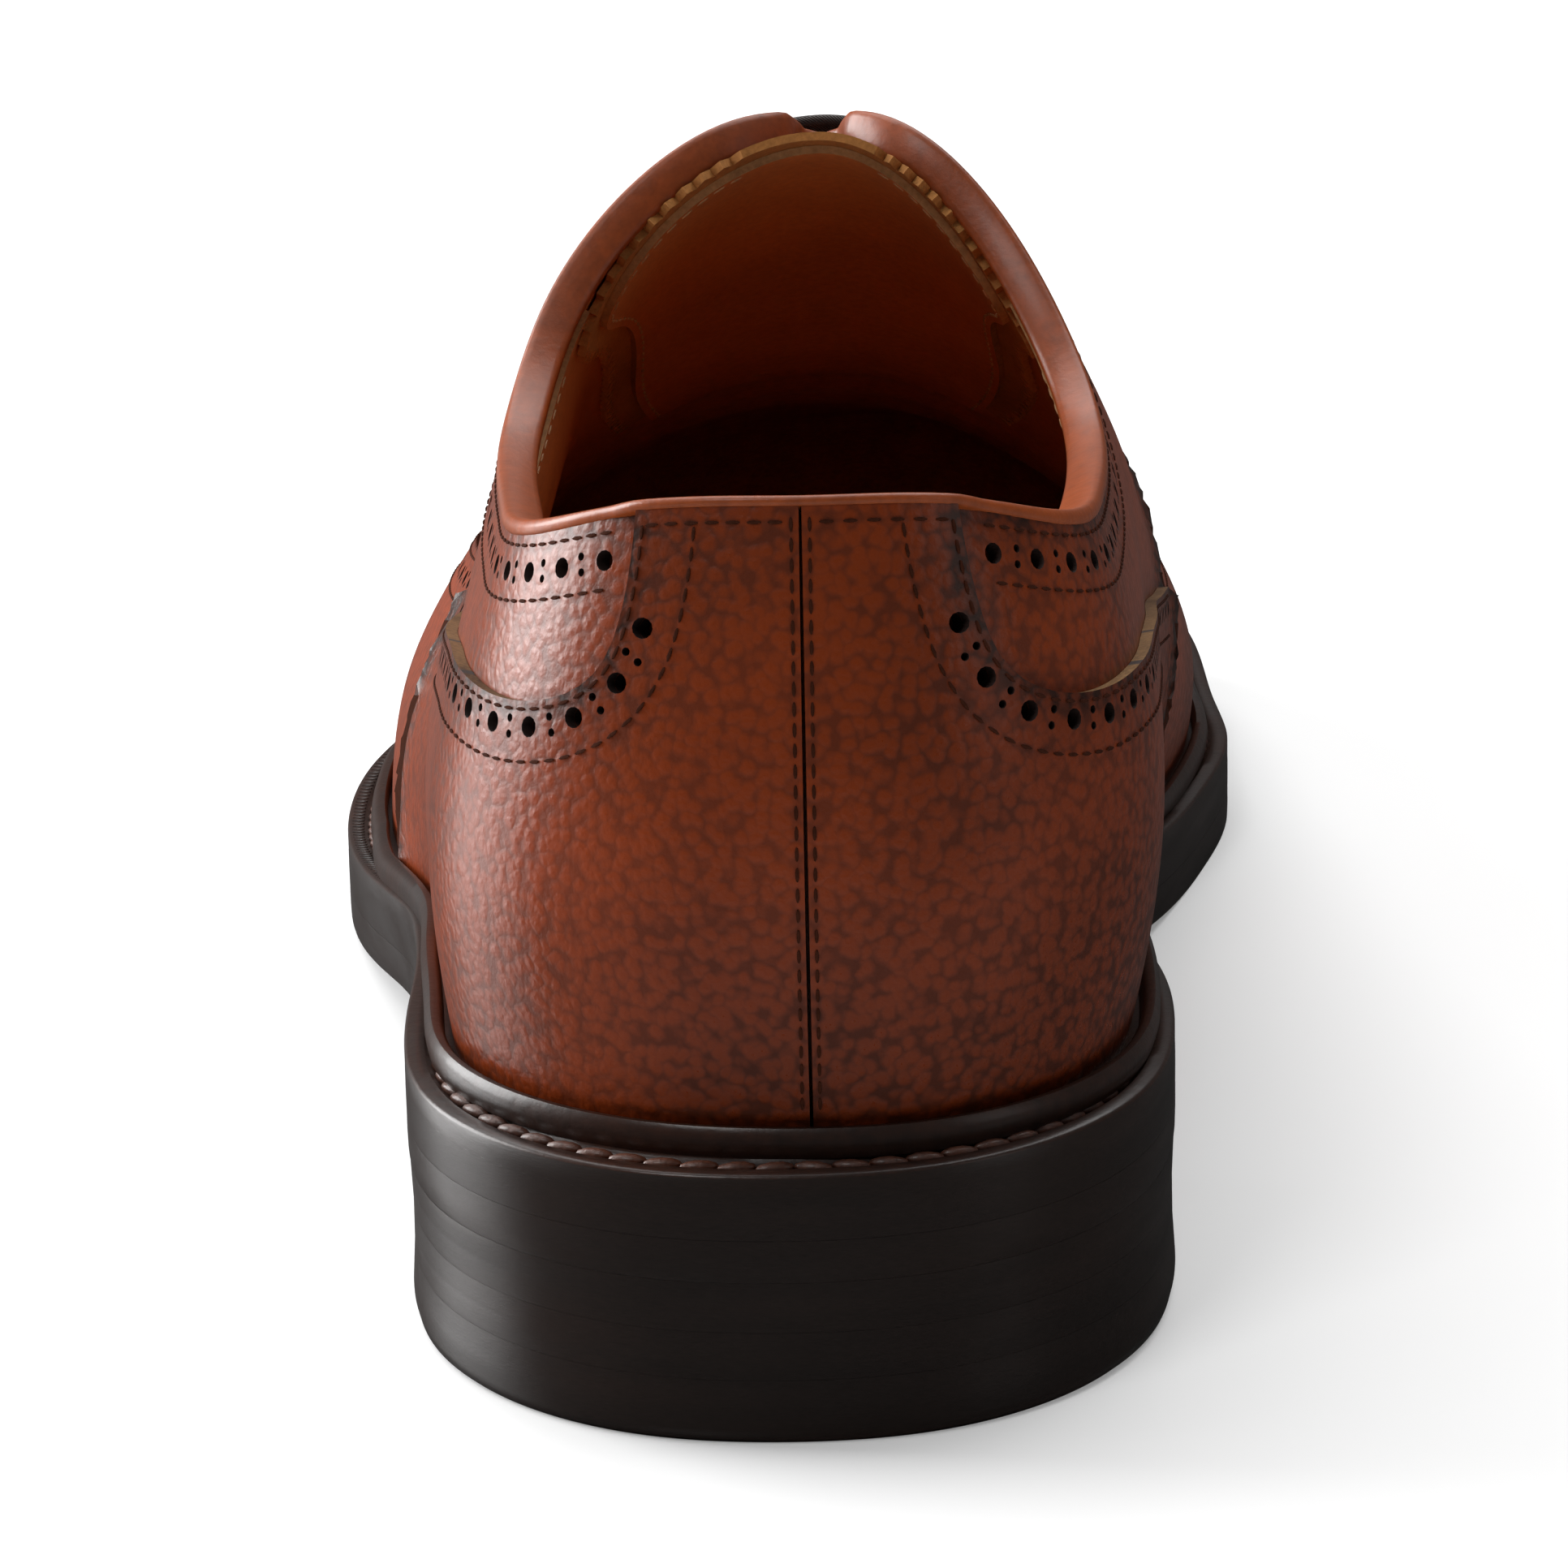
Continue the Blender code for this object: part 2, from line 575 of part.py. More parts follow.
def add_sole_layer(name, base, top, material):
    lines = along_lines()
    low = sheet_rows(lines, edge_line, lambda y: ground_rise(y) + base)
    high = sheet_rows(lines, edge_line, lambda y: ground_rise(y) + top)
    ladder(name, low, high, material)


def add_insole(material):
    lines = along_lines()
    inset = -(UPPER_WALL + WELT_INNER + GAP)

    def outline(side, along):
        return layer_point(side, along, np.zeros_like(along), inset)

    low = sheet_rows(lines, outline, lambda y: ground_rise(y) + WELT_BASE)
    high = sheet_rows(lines, outline, lambda y: ground_rise(y) + INSOLE_TOP)
    ladder("insole", low, high, material)


def add_welt(material):
    """The storm welt: a flat strip all round, with a rib that leans on the upper's foot."""
    lines = along_lines()
    clearance = np.interp(lines, *zip(*RIB_CLEARANCE))
    rings = []
    for side in ("lat", "med"):
        edge = edge_line(side, lines)
        foot = layer_point(side, lines, np.zeros_like(lines), clearance)
        lean = layer_point(side, lines, np.full_like(lines, RIB_UP), clearance)
        rib_foot = layer_point(side, lines, np.zeros_like(lines), clearance + RIB_FOOT_WIDTH)
        rib_head = layer_point(side, lines, np.full_like(lines, RIB_UP), clearance + RIB_HEAD_WIDTH)
        inner = layer_point(side, lines, np.zeros_like(lines), -UPPER_WALL - WELT_INNER)
        profile = (
            (edge, WELT_BASE),
            (edge, WELT_TOP),
            (rib_foot, WELT_TOP),
            (rib_head, WELT_TOP + RIB_SHOULDER),
            (lean, WELT_TOP + RIB_HEIGHT),
            (foot, WELT_TOP),
            (inner, WELT_TOP),
            (inner, WELT_BASE),
        )
        ring = []
        for points, height in profile:
            points = np.array(points)
            points[:, 2] = ground_rise(points[:, 1]) + height
            ring.append(points)
        rings.append(np.stack(ring, axis=1))
    around = np.concatenate([rings[0], rings[1][-2:0:-1]])
    bm = bmesh.new()
    verts = [[bm.verts.new(point) for point in to_world(section)] for section in around]
    for i, section in enumerate(verts):
        after = verts[(i + 1) % len(verts)]
        for j in range(len(section)):
            k = (j + 1) % len(section)
            bm.faces.new((section[j], after[j], after[k], section[k]))
    add_object("welt", bm, material)


def add_heel(materials):
    """Three lifts under the heel seat, the lowest one the walked-on piece."""
    lines = along_lines()
    breast = float(np.interp(BREAST_Y, edge_line("lat", lines)[:, 1], lines))
    lines = np.append(lines[lines < breast - SHORTEST_CELL], breast)

    def outline_at(out):
        return lambda side, along: edge_line(side, along, out)

    for lift, material in zip(LIFTS, materials):

        def top_height(y):
            return np.minimum(lift.top, ground_rise(y) - GAP)

        def base_height(y):
            return np.full_like(y, lift.base)

        low = sheet_rows(lines, outline_at(lift.base_out), base_height, BREAST_HOLLOW)
        high = sheet_rows(lines, outline_at(lift.top_out), top_height, BREAST_HOLLOW)
        ladder(lift.name, low, high, material)


def add_laces(material):
    """Straight bars over the gap between the facings, each resting on both."""
    out = QUARTER_FACE + GAP + LACE_THICK / 2
    reach = np.linspace(BAR_REACH, 1, BAR_POINTS)
    sides = ("lat",) * len(reach) + ("med",) * (len(reach) - 1)
    ups = np.concatenate([reach, reach[-2::-1]])
    for number, along in enumerate(np.linspace(FIRST_BAR, LAST_BAR, LACE_BARS), 1):
        path = np.array([layer_point(side, along, up, out) for side, up in zip(sides, ups)])
        normals = np.array([upper_normal(side, along, up) for side, up in zip(sides, ups)])
        runs = np.gradient(path, axis=0)
        runs /= np.linalg.norm(runs, axis=1, keepdims=True)
        bm = bmesh.new()
        rings = []
        for point, normal, across in zip(path, normals, np.cross(runs, normals)):
            turns = [2 * pi * step / LACE_SIDES for step in range(LACE_SIDES)]
            ring = [
                point + across * cos(turn) * LACE_WIDTH / 2 + normal * sin(turn) * LACE_THICK / 2
                for turn in turns
            ]
            rings.append([bm.verts.new(place) for place in to_world(ring)])
        for ring, after in zip(rings, rings[1:]):
            for j in range(LACE_SIDES):
                k = (j + 1) % LACE_SIDES
                bm.faces.new((ring[j], after[j], after[k], ring[k]))
        for ring in (rings[0], rings[-1]):
            bm.faces.new(ring)
        add_object(f"lace_bar_{number}", bm, material)


def main():
    clear_scene()
    chestnut = finish_material("chestnut leather", CHESTNUT, 0.35)
    overlay = finish_material("overlay leather", CHESTNUT_DARK, 0.33)
    lining = finish_material("tan leather", TAN, 0.55)
    edge = finish_material("dark edge", BLACK_BROWN, 0.25)
    welt = finish_material("welt leather", WELT_BROWN, 0.40)
    lace = finish_material("lace", LACE_BROWN, 0.70)
    add_upper(chestnut)
    add_quarters(chestnut)
    add_tails(overlay)
    add_wing_cap(overlay)
    add_tongue(chestnut)
    add_insole(lining)
    add_welt(welt)
    add_sole_layer("midsole", MIDSOLE_BASE, MIDSOLE_BASE + MIDSOLE_THICK, edge)
    add_sole_layer("outsole", 0.0, OUTSOLE_THICK, edge)
    add_heel((edge, edge, edge))
    add_laces(lace)


main()
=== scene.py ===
"""Looks of a longwing brogue, left shoe, built round the packed part as its fixed frame.

Sizes in the tables are millimetres. X runs to the inner side of the foot, Y from the heel to the toe and Z
up. A place on the upper is given as a pattern cutter would: "along" is the share of the way from the back
seam to the toe tip, and "up" the share of the way from the feather edge to the middle line over the foot.
"""

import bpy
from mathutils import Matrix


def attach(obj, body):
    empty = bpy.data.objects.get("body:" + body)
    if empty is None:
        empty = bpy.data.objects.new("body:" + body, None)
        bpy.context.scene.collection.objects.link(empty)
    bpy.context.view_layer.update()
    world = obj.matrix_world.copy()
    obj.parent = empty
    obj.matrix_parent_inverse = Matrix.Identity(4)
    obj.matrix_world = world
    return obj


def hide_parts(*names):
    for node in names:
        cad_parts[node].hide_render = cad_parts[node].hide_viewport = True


bl_info = {
    "name": "Longwing brogue",
    "version": (1, 0, 0),
    "blender": (4, 5, 0),
    "location": "3D View > Sidebar > Brogue",
    "description": "Dresses a longwing brogue in grained leather with its holes, stitches, welt and laces",
    "category": "Object",
}

from collections import namedtuple
from math import cos, pi, radians, sin

import bmesh
import bpy
import numpy as np
from bpy.props import FloatProperty, FloatVectorProperty, PointerProperty
from mathutils import Matrix, Vector

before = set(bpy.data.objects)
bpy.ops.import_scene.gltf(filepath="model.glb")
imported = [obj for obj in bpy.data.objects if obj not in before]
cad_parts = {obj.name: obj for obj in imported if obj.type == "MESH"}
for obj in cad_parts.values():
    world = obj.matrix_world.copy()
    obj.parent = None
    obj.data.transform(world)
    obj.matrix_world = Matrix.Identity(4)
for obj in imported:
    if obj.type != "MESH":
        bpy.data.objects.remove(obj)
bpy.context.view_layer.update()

CENTRE_STEPS = 241
SIDES = ("lat", "med")
WORDS = ("lateral", "medial")
MM = 0.001
GAP = 0.3

SOLE_LENGTH = 305.0
HEEL_RISE = 16.4
TOE_SPRING = 9.5
SEAT_FRONT = 46.0
TREAD_BACK = 185.0
TREAD_FRONT = 216.0

OUTSOLE_THICK = 4.2
MIDSOLE_THICK = 3.5
WELT_THICK = 2.5
MIDSOLE_BASE = OUTSOLE_THICK + GAP
WELT_BASE = MIDSOLE_BASE + MIDSOLE_THICK + GAP
WELT_TOP = WELT_BASE + WELT_THICK
UPPER_BASE = WELT_TOP + GAP
INSOLE_TOP = UPPER_BASE + 2.4

UPPER_WALL = 1.6
QUARTER_THICK = 1.5
WING_THICK = 0.9
TAIL_THICK = 1.0
TONGUE_THICK = 1.8
QUARTER_FACE = GAP + QUARTER_THICK
TAIL_FACE = QUARTER_FACE + GAP + TAIL_THICK
WING_FACE = GAP + WING_THICK

# A row for each section across the shoe: its place, the middle line over the foot, and for the outer
# (lat) and inner (med) side the x of the sole's edge and of the upper from its feather edge up
Station = namedtuple(
    "Station",
    "y crown_x crown_z lat_edge lat_feather lat_belly lat_flank lat_shoulder"
    " med_edge med_feather med_belly med_flank med_shoulder",
)
STATIONS = [Station(*row) for row in (
    (48, 2.5, 118, -39.4, -31.4, -33.0, -28.2, -19.6, 39.0, 31.4, 35.0, 32.4, 22.5),
    (70, 3.0, 117, -40.1, -33.4, -35.0, -29.8, -22.2, 38.2, 31.4, 35.6, 33.8, 25.0),
    (92, 3.6, 113.4, -41.8, -35.2, -35.8, -29.4, -23.6, 35.8, 30.4, 36.0, 35.2, 26.6),
    (115, 4.3, 105.6, -44.8, -38.6, -37.8, -29.6, -22.8, 33.4, 29.6, 36.6, 36.8, 27.8),
    (140, 4.5, 91.0, -50.6, -44.0, -42.0, -32.8, -25.0, 36.6, 32.4, 39.6, 39.6, 30.8),
    (165, 4.0, 77.0, -55.8, -49.0, -47.1, -38.8, -28.4, 43.8, 38.2, 43.4, 42.2, 32.8),
    (190, 3.4, 66.0, -57.7, -51.0, -49.4, -43.0, -31.2, 50.6, 44.6, 47.0, 44.0, 33.4),
    (212, 3.4, 58.6, -55.6, -49.4, -48.8, -43.2, -31.4, 54.6, 48.0, 48.8, 44.2, 33.2),
    (234, 3.8, 52.8, -50.4, -44.4, -44.2, -39.8, -29.0, 53.8, 47.4, 47.6, 42.8, 32.0),
)]

# A row for each line that runs round the shoe: its height as a share of the section's, its place "up",
# and how far it lies behind the first section at the heel and before the last one at the toe
Line = namedtuple("Line", "name height_share up heel_depth toe_depth")
LINES = [Line(*row) for row in (
    ("edge", 0.0, None, 48.0, 71.0),
    ("feather", 0.0, 0.0, 37.6, 63.5),
    ("belly", 0.25, 0.19, 40.6, 63.0),
    ("flank", 0.5, 0.38, 37.2, 57.5),
    ("shoulder", 0.76, 0.63, 30.0, 46.0),
    ("crown", 1.0, 1.0, 14.0, 26.0),
)]
# The angles of the sections that fan round the heel and the toe, and how square each end is
HEEL_FAN = (90, 72, 50, 25)
TOE_FAN = (22, 44, 66, 90)
HEEL_ROUNDNESS = 0.90
TOE_ROUNDNESS = 0.96
TOE_TIP_SHIFT = 4.0

# The middle line over the toe, with a row of (y, z) for each point
TOE_CROWN = ((234, 52.8), (248, 49.7), (260, 46.4))

# Edges of the pattern pieces, each a smooth curve through its rows of (along, up)
TOPLINE = (
    (0.0, 0.542), (0.030, 0.540), (0.060, 0.527), (0.110, 0.484), (0.170, 0.462), (0.230, 0.472),
    (0.275, 0.530), (0.305, 0.640), (0.328, 0.780), (0.343, 0.900), (0.358, 0.962),
)
FACING_TOP = (0.375, 0.976)
FACING_END = (0.520, 0.980)
FRONT_EDGE = (
    (0.450, 0.0), (0.457, 0.083), (0.457, 0.157), (0.460, 0.25), (0.469, 0.345),
    (0.484, 0.47), (0.502, 0.63), (0.520, 0.78), (0.534, 0.89), (0.533, 0.955), (0.520, 0.980),
)
TAIL_EDGE = (
    (0.058, 0.580), (0.055, 0.44), (0.061, 0.375), (0.084, 0.338), (0.125, 0.330),
    (0.180, 0.318), (0.250, 0.298), (0.330, 0.292), (0.400, 0.305), (0.480, 0.345),
)
WING_EDGE = (
    (0.455, 0.365), (0.505, 0.405), (0.560, 0.440), (0.611, 0.475), (0.677, 0.530), (0.722, 0.605),
    (0.741, 0.690), (0.741, 0.780), (0.728, 0.870), (0.708, 0.940), (0.684, 1.0),
)
TONGUE_EDGE = (
    (0.565, 1.05), (0.565, 0.72), (0.470, 0.66), (0.390, 0.62), (0.338, 0.60),
    (0.328, 0.66), (0.326, 0.78), (0.332, 0.90), (0.336, 1.05),
)
# Small steps between the pieces as shares of the length, and how high the wings' front and rear ends reach
BACK_SEAM = 0.0005
EDGE_GAP = 0.0018
TAIL_SETBACK = 0.004
TAIL_FRONT_UP = 0.328
WING_REAR_UP = 0.385

# The welt's rib, and how far it stands out from the upper, with a row of (along, out) for each change
RIB_HEIGHT = 3.0
RIB_UP = 0.04
WELT_INNER = 5.0
RIB_CLEARANCE = ((0.0, 3.5), (0.465, 3.5), (0.54, 1.6), (1.0, 1.6))

# The heel: where its breast lies and how hollow that is, and how far the top piece's base stands out
BREAST_Y = 74.0
BREAST_HOLLOW = 3.0
HEEL_FLARE = 0.8
FLARE_END = 0.2
# A row for each lift: the height of its underside, the number of its layers and its slot
Lift = namedtuple("Lift", "name base layers slot")
LIFTS = [Lift(*row) for row in (
    ("top_lift", 0.0, 1, "top_piece_rubber"),
    ("heel_lift_lower", 6.5, 2, "sole_leather"),
    ("heel_lift_upper", 11.3, 2, "sole_leather"),
)]

# The lace's bars, as places along the facings, which is also where the eyelets are
LACE_BARS = 5
FIRST_BAR, LAST_BAR = 0.385, 0.497

# Size of half the upper when it is unrolled flat, in metres, and how close points are made one
FLAT_LENGTH, FLAT_HEIGHT = 0.36, 0.11
WELD = 0.00003
BEYOND = 0.1


def ground_rise(y):
    """How high the sole's underside is over the ground, in mm."""
    arch = np.clip((TREAD_BACK - y) / (TREAD_BACK - SEAT_FRONT), 0, 1)
    toe = np.clip((y - TREAD_FRONT) / (SOLE_LENGTH - TREAD_FRONT), 0, None)
    return HEEL_RISE * arch**2 * (3 - 2 * arch) + TOE_SPRING * toe**2


def between(t, gap, start, end, start_slope, end_slope):
    """The smooth curve from start to end at the share `t` of the gap, with the slopes given at both."""
    first = (2 * t**3 - 3 * t**2 + 1) * start + (t**3 - 2 * t**2 + t) * gap * start_slope
    last = (3 * t**2 - 2 * t**3) * end + (t**3 - t**2) * gap * end_slope
    return first + last


class Spline:
    """The smooth cubic curve through a row of points, open or closed on itself."""

    def __init__(self, places, points, closed=False):
        self.places = np.asarray(places, float)
        self.points = np.asarray(points, float)
        count = len(self.places)
        gaps = np.diff(self.places)
        chords = np.diff(self.points, axis=0) / gaps[:, None]
        equations = np.zeros((count, count))
        wanted = np.zeros_like(self.points)
        for i in range(1, count - 1):
            equations[i, i - 1 : i + 2] = gaps[i], 2 * (gaps[i - 1] + gaps[i]), gaps[i - 1]
            wanted[i] = 3 * (gaps[i] * chords[i - 1] + gaps[i - 1] * chords[i])
        if closed:
            equations[0, [-2, 0, 1]] = gaps[0], 2 * (gaps[-1] + gaps[0]), gaps[-1]
            wanted[0] = 3 * (gaps[0] * chords[-1] + gaps[-1] * chords[0])
            equations[-1, [0, -1]] = 1, -1
        else:
            equations[0, :2] = 2, 1
            equations[-1, -2:] = 1, 2
            wanted[0] = 3 * chords[0]
            wanted[-1] = 3 * chords[-1]
        self.slopes = np.linalg.solve(equations, wanted)

    def at(self, place):
        place = np.asarray(place, float)
        i = np.clip(np.searchsorted(self.places, place, side="right") - 1, 0, len(self.places) - 2)
        gap = (self.places[i + 1] - self.places[i])[..., None]
        t = (place - self.places[i])[..., None] / gap
        return between(t, gap, self.points[i], self.points[i + 1], self.slopes[i], self.slopes[i + 1])


def section_rows(side):
    """The places of all lines, section by section, from the back seam to the toe tip on one side."""
    first, last = STATIONS[0], STATIONS[-1]
    toe_crown = Spline(*zip(*[(y, (z,)) for y, z in TOE_CROWN]))

    def widths(station):
        return [getattr(station, f"{side}_{line.name}") for line in LINES[:-1]] + [station.crown_x]

    rows = []
    for angle in HEEL_FAN:
        out = max(cos(radians(angle)), 0) ** HEEL_ROUNDNESS
        back = sin(radians(angle)) ** HEEL_ROUNDNESS
        row = []
        for line, width in zip(LINES, widths(first)):
            middle = 0 if line.name == "edge" else first.crown_x
            row.append((middle + (width - middle) * out, first.y - line.heel_depth * back))
        rows.append((row, first.crown_z))
    for station in STATIONS:
        rows.append(([(width, station.y) for width in widths(station)], station.crown_z))
    for angle in TOE_FAN:
        out = max(cos(radians(angle)), 0) ** TOE_ROUNDNESS
        ahead = sin(radians(angle)) ** TOE_ROUNDNESS
        row = []
        for line, width in zip(LINES, widths(last)):
            shift = TOE_TIP_SHIFT * ahead * (0.5 if line.name == "crown" else 1)
            across = last.crown_x + shift + (width - last.crown_x) * out
            row.append((across, last.y + line.toe_depth * ahead))
        rows.append((row, float(toe_crown.at(row[-1][1])[0])))

    placed = []
    for row, crown_z in rows:
        base = UPPER_BASE + float(ground_rise(row[1][1]))
        heights = [base + (crown_z - base) * line.height_share for line in LINES]
        placed.append([(x, y, z) for (x, y), z in zip(row, heights)])
    return np.array(placed)


SECTIONS = {"lat": section_rows("lat"), "med": section_rows("med")}
STRIDES = sum(np.linalg.norm(np.diff(rows[:, 2], axis=0), axis=1) for rows in SECTIONS.values())
SECTION_ALONG = np.concatenate([[0], np.cumsum(STRIDES)]) / STRIDES.sum()
LOOP_PLACES = np.concatenate([SECTION_ALONG, 2 - SECTION_ALONG[-2::-1]])
LOOPS = [
    Spline(LOOP_PLACES, np.vstack([SECTIONS["lat"][:, i], SECTIONS["med"][-2::-1, i]]), closed=True)
    for i in range(len(LINES))
]
LINE_UP = np.array([line.up for line in LINES[1:]])
LINE_GAPS = np.diff(LINE_UP)
CROWN_FULLNESS = 1.25
CROWN_FIRST, CROWN_LAST = 0.16, 0.985
CROWN_UP, FOOT_UP = 0.995, 0.06
RUN_STEP, NORMAL_STEP = 0.002, 0.001


def round_place(side, along):
    return np.mod(along if side == "lat" else 2 - along, 2)


def crown_slope(along):
    """The fall of the middle line over the foot, which both sides meet at one tangent."""
    inside = np.clip(along, CROWN_FIRST, CROWN_LAST)
    ahead, behind = LOOPS[-1].at(inside + RUN_STEP), LOOPS[-1].at(inside - RUN_STEP)
    return (ahead[..., 2] - behind[..., 2]) / (ahead[..., 1] - behind[..., 1])


def across_equations():
    count = len(LINE_UP)
    equations = np.zeros((count, count))
    for i in range(1, count - 1):
        equations[i, i - 1 : i + 2] = LINE_GAPS[i], 2 * (LINE_GAPS[i - 1] + LINE_GAPS[i]), LINE_GAPS[i - 1]
    equations[0, :2] = 2, 1
    equations[-1, -1] = 1
    return np.linalg.inv(equations)


ACROSS = across_equations()


def upper_surface(side, along, up):
    """Points of the upper's outer face, in mm."""
    along, up = np.broadcast_arrays(np.asarray(along, float), np.asarray(up, float))
    points = np.stack([loop.at(round_place(side, along)) for loop in LOOPS[1:]], axis=-2)
    chords = np.diff(points, axis=-2) / LINE_GAPS[:, None]
    wanted = np.zeros_like(points)
    wanted[..., 0, :] = 3 * chords[..., 0, :]
    for i in range(1, len(LINE_UP) - 1):
        wanted[..., i, :] = 3 * (LINE_GAPS[i] * chords[..., i - 1, :] + LINE_GAPS[i - 1] * chords[..., i, :])
    over = CROWN_FULLNESS * chords[..., -1, :]
    over[..., 2] = crown_slope(along) * over[..., 1]
    wanted[..., -1, :] = over
    slopes = np.einsum("ij,...jk->...ik", ACROSS, wanted)

    i = np.clip(np.searchsorted(LINE_UP, up, side="right") - 1, 0, len(LINE_GAPS) - 1)
    gap = LINE_GAPS[i][..., None]
    t = (up - LINE_UP[i])[..., None] / gap

    def pick(values, index):
        return np.take_along_axis(values, index[..., None, None], axis=-2)[..., 0, :]

    return between(t, gap, pick(points, i), pick(points, i + 1), pick(slopes, i), pick(slopes, i + 1))


def upper_normal(side, along, up):
    along, up = np.broadcast_arrays(np.asarray(along, float), np.asarray(up, float))
    ahead, behind = along + NORMAL_STEP, along - NORMAL_STEP
    forward = upper_surface(side, ahead, up) - upper_surface(side, behind, up)
    higher, lower = np.clip(up + NORMAL_STEP, 0, 1), np.clip(up - NORMAL_STEP, 0, 1)
    upward = upper_surface(side, along, higher) - upper_surface(side, along, lower)
    normal = np.cross(upward, forward) if side == "lat" else np.cross(forward, upward)
    fall = crown_slope(along)
    level = np.stack([0 * fall, -fall, np.ones_like(fall)], axis=-1)
    normal = np.where((up > CROWN_UP)[..., None], level, normal)
    normal = normal / np.linalg.norm(normal, axis=-1, keepdims=True)
    # At the feather edge every layer stands on the welt, so it is offset level with the ground
    normal[..., 2] *= np.clip(up / FOOT_UP, 0, 1)
    return normal / np.linalg.norm(normal, axis=-1, keepdims=True)


def layer_point(side, along, up, out):
    """A point that lies `out` mm outside the upper's outer face."""
    return upper_surface(side, along, up) + upper_normal(side, along, up) * np.asarray(out)[..., None]


def edge_line(side, along, out=0.0):
    """Points of the sole's outline, moved out by `out` mm, with z left at 0."""
    along = np.asarray(along, float)
    place = round_place(side, along)
    here = LOOPS[0].at(place)[..., :2]
    ahead, behind = LOOPS[0].at(np.mod(place + RUN_STEP, 2)), LOOPS[0].at(np.mod(place - RUN_STEP, 2))
    run = ahead[..., :2] - behind[..., :2]
    run /= np.linalg.norm(run, axis=-1, keepdims=True)
    moved = here + np.stack([-run[..., 1], run[..., 0]], axis=-1) * np.asarray(out)[..., None]
    return np.concatenate([moved, np.zeros_like(moved[..., :1])], axis=-1)


def row_centre():
    """The row frame's origin, under the middle of the sole's outline, in mm."""
    places = np.linspace(0, 1, CENTRE_STEPS)
    outline = np.vstack([edge_line(side, places, HEEL_FLARE * (places < FLARE_END)) for side in SIDES])
    return np.append((outline.min(axis=0) + outline.max(axis=0))[:2] / 2, 0)


ORIGIN = row_centre()


def to_world(points):
    return (np.asarray(points) - ORIGIN) * MM


# The flat sheet's cells, the steps of a smooth edge, and half of a cutter's height in metres
CELLS_ALONG, CELLS_UP = 150, 48
CURVE_STEPS = 90
KNIFE_REACH = 0.02
PUNCH_SIDES = 12
METRIC_STEP, METRIC_MARGIN = 0.0015, 0.002
# The places of a piece's materials: its outer face, cut edge, inner face and the walls of its holes
FACE, EDGE, BACK, HOLE = 0, 1, 2, 3
# At a pinked edge, with reaches in mm: how far the face stands out, and how strong the burnish is
CURL, CURL_REACH = 1.1, 1.3
BURNISH, BURNISH_REACH = 1.9, 1.5
STAIN_REACH = 1.7
# Near a piece's edges its face is darkened, partly as a real burnish and partly as painted shade along the
# seams
RIM_REACH, RIM_BURNISH_AND_SHADE_FADE = 1.9, 2.2

# Soft creases over the ball of the foot, with a row of (along, half-width, lowest up, depth in mm) for each
CREASES = ((0.600, 0.0075, 0.62, 0.42), (0.640, 0.0085, 0.55, 0.55), (0.682, 0.0080, 0.60, 0.45))
CREASE_LEAN = 0.02
CREASE_FADE = (-0.25, 0.1)
# The low ridge that follows each crease: its share of the depth, its place and its spread
RIDGE_SHARE, RIDGE_PLACE, RIDGE_SPREAD = 0.45, 2.1, 1.6
# Slow waves in the leather: their height in mm, and rows of (turns along, turns up, share of MEDIAL_TURN)
SWAY = 0.16
SWAY_WAVES = ((41, 7, 1), (23, -11, 2))
MEDIAL_TURN = 1.7


def smooth_step(low, high, value):
    share = np.clip((value - low) / (high - low), 0, 1)
    return share**2 * (3 - 2 * share)


def relief(side, along, up):
    """How far the leather stands out (+) or sinks (-) from the last's plain form, in mm."""
    turn = 0.0 if side == "lat" else MEDIAL_TURN
    window = np.sin(np.clip(up, 0, 1) * pi) * np.sin(np.clip(along, 0, 1) * pi)
    angles = (along * ahead + up * above + share * turn for ahead, above, share in SWAY_WAVES)
    height = SWAY * window * sum(np.sin(angle) for angle in angles)
    for place, width, lowest, depth in CREASES:
        distance = (along - place - CREASE_LEAN * (1 - up)) / width
        ridge = RIDGE_SHARE * np.exp(-((distance - RIDGE_PLACE) ** 2) / RIDGE_SPREAD)
        fade = smooth_step(lowest + CREASE_FADE[0], lowest + CREASE_FADE[1], up)
        height = height - depth * (np.exp(-(distance**2)) - ridge) * fade
    return height


def skin_point(side, along, up, out):
    """A point in the dressed upper, `out` mm outside its outer face."""
    return layer_point(side, along, up, np.asarray(out) + relief(side, along, up))


def metric(line):
    """The surface's two edges at each pattern point: mm for each whole step of along and of up."""
    line = np.asarray(line, float)
    along, up = np.clip(line[:, :2], METRIC_MARGIN, 1 - METRIC_MARGIN).T
    step = METRIC_STEP
    ahead = upper_surface("lat", along + step, up) - upper_surface("lat", along - step, up)
    above = upper_surface("lat", along, up + step) - upper_surface("lat", along, up - step)
    return ahead / (2 * step), above / (2 * step)


def smooth_line(rows, steps=CURVE_STEPS):
    """Pattern points along the smooth curve through a table's rows."""
    rows = np.array(rows, float)
    strides = np.linalg.norm(np.diff(rows * (FLAT_LENGTH, FLAT_HEIGHT), axis=0), axis=1)
    places = np.concatenate([[0], np.cumsum(strides)])
    return Spline(places, rows).at(np.linspace(0, places[-1], steps))


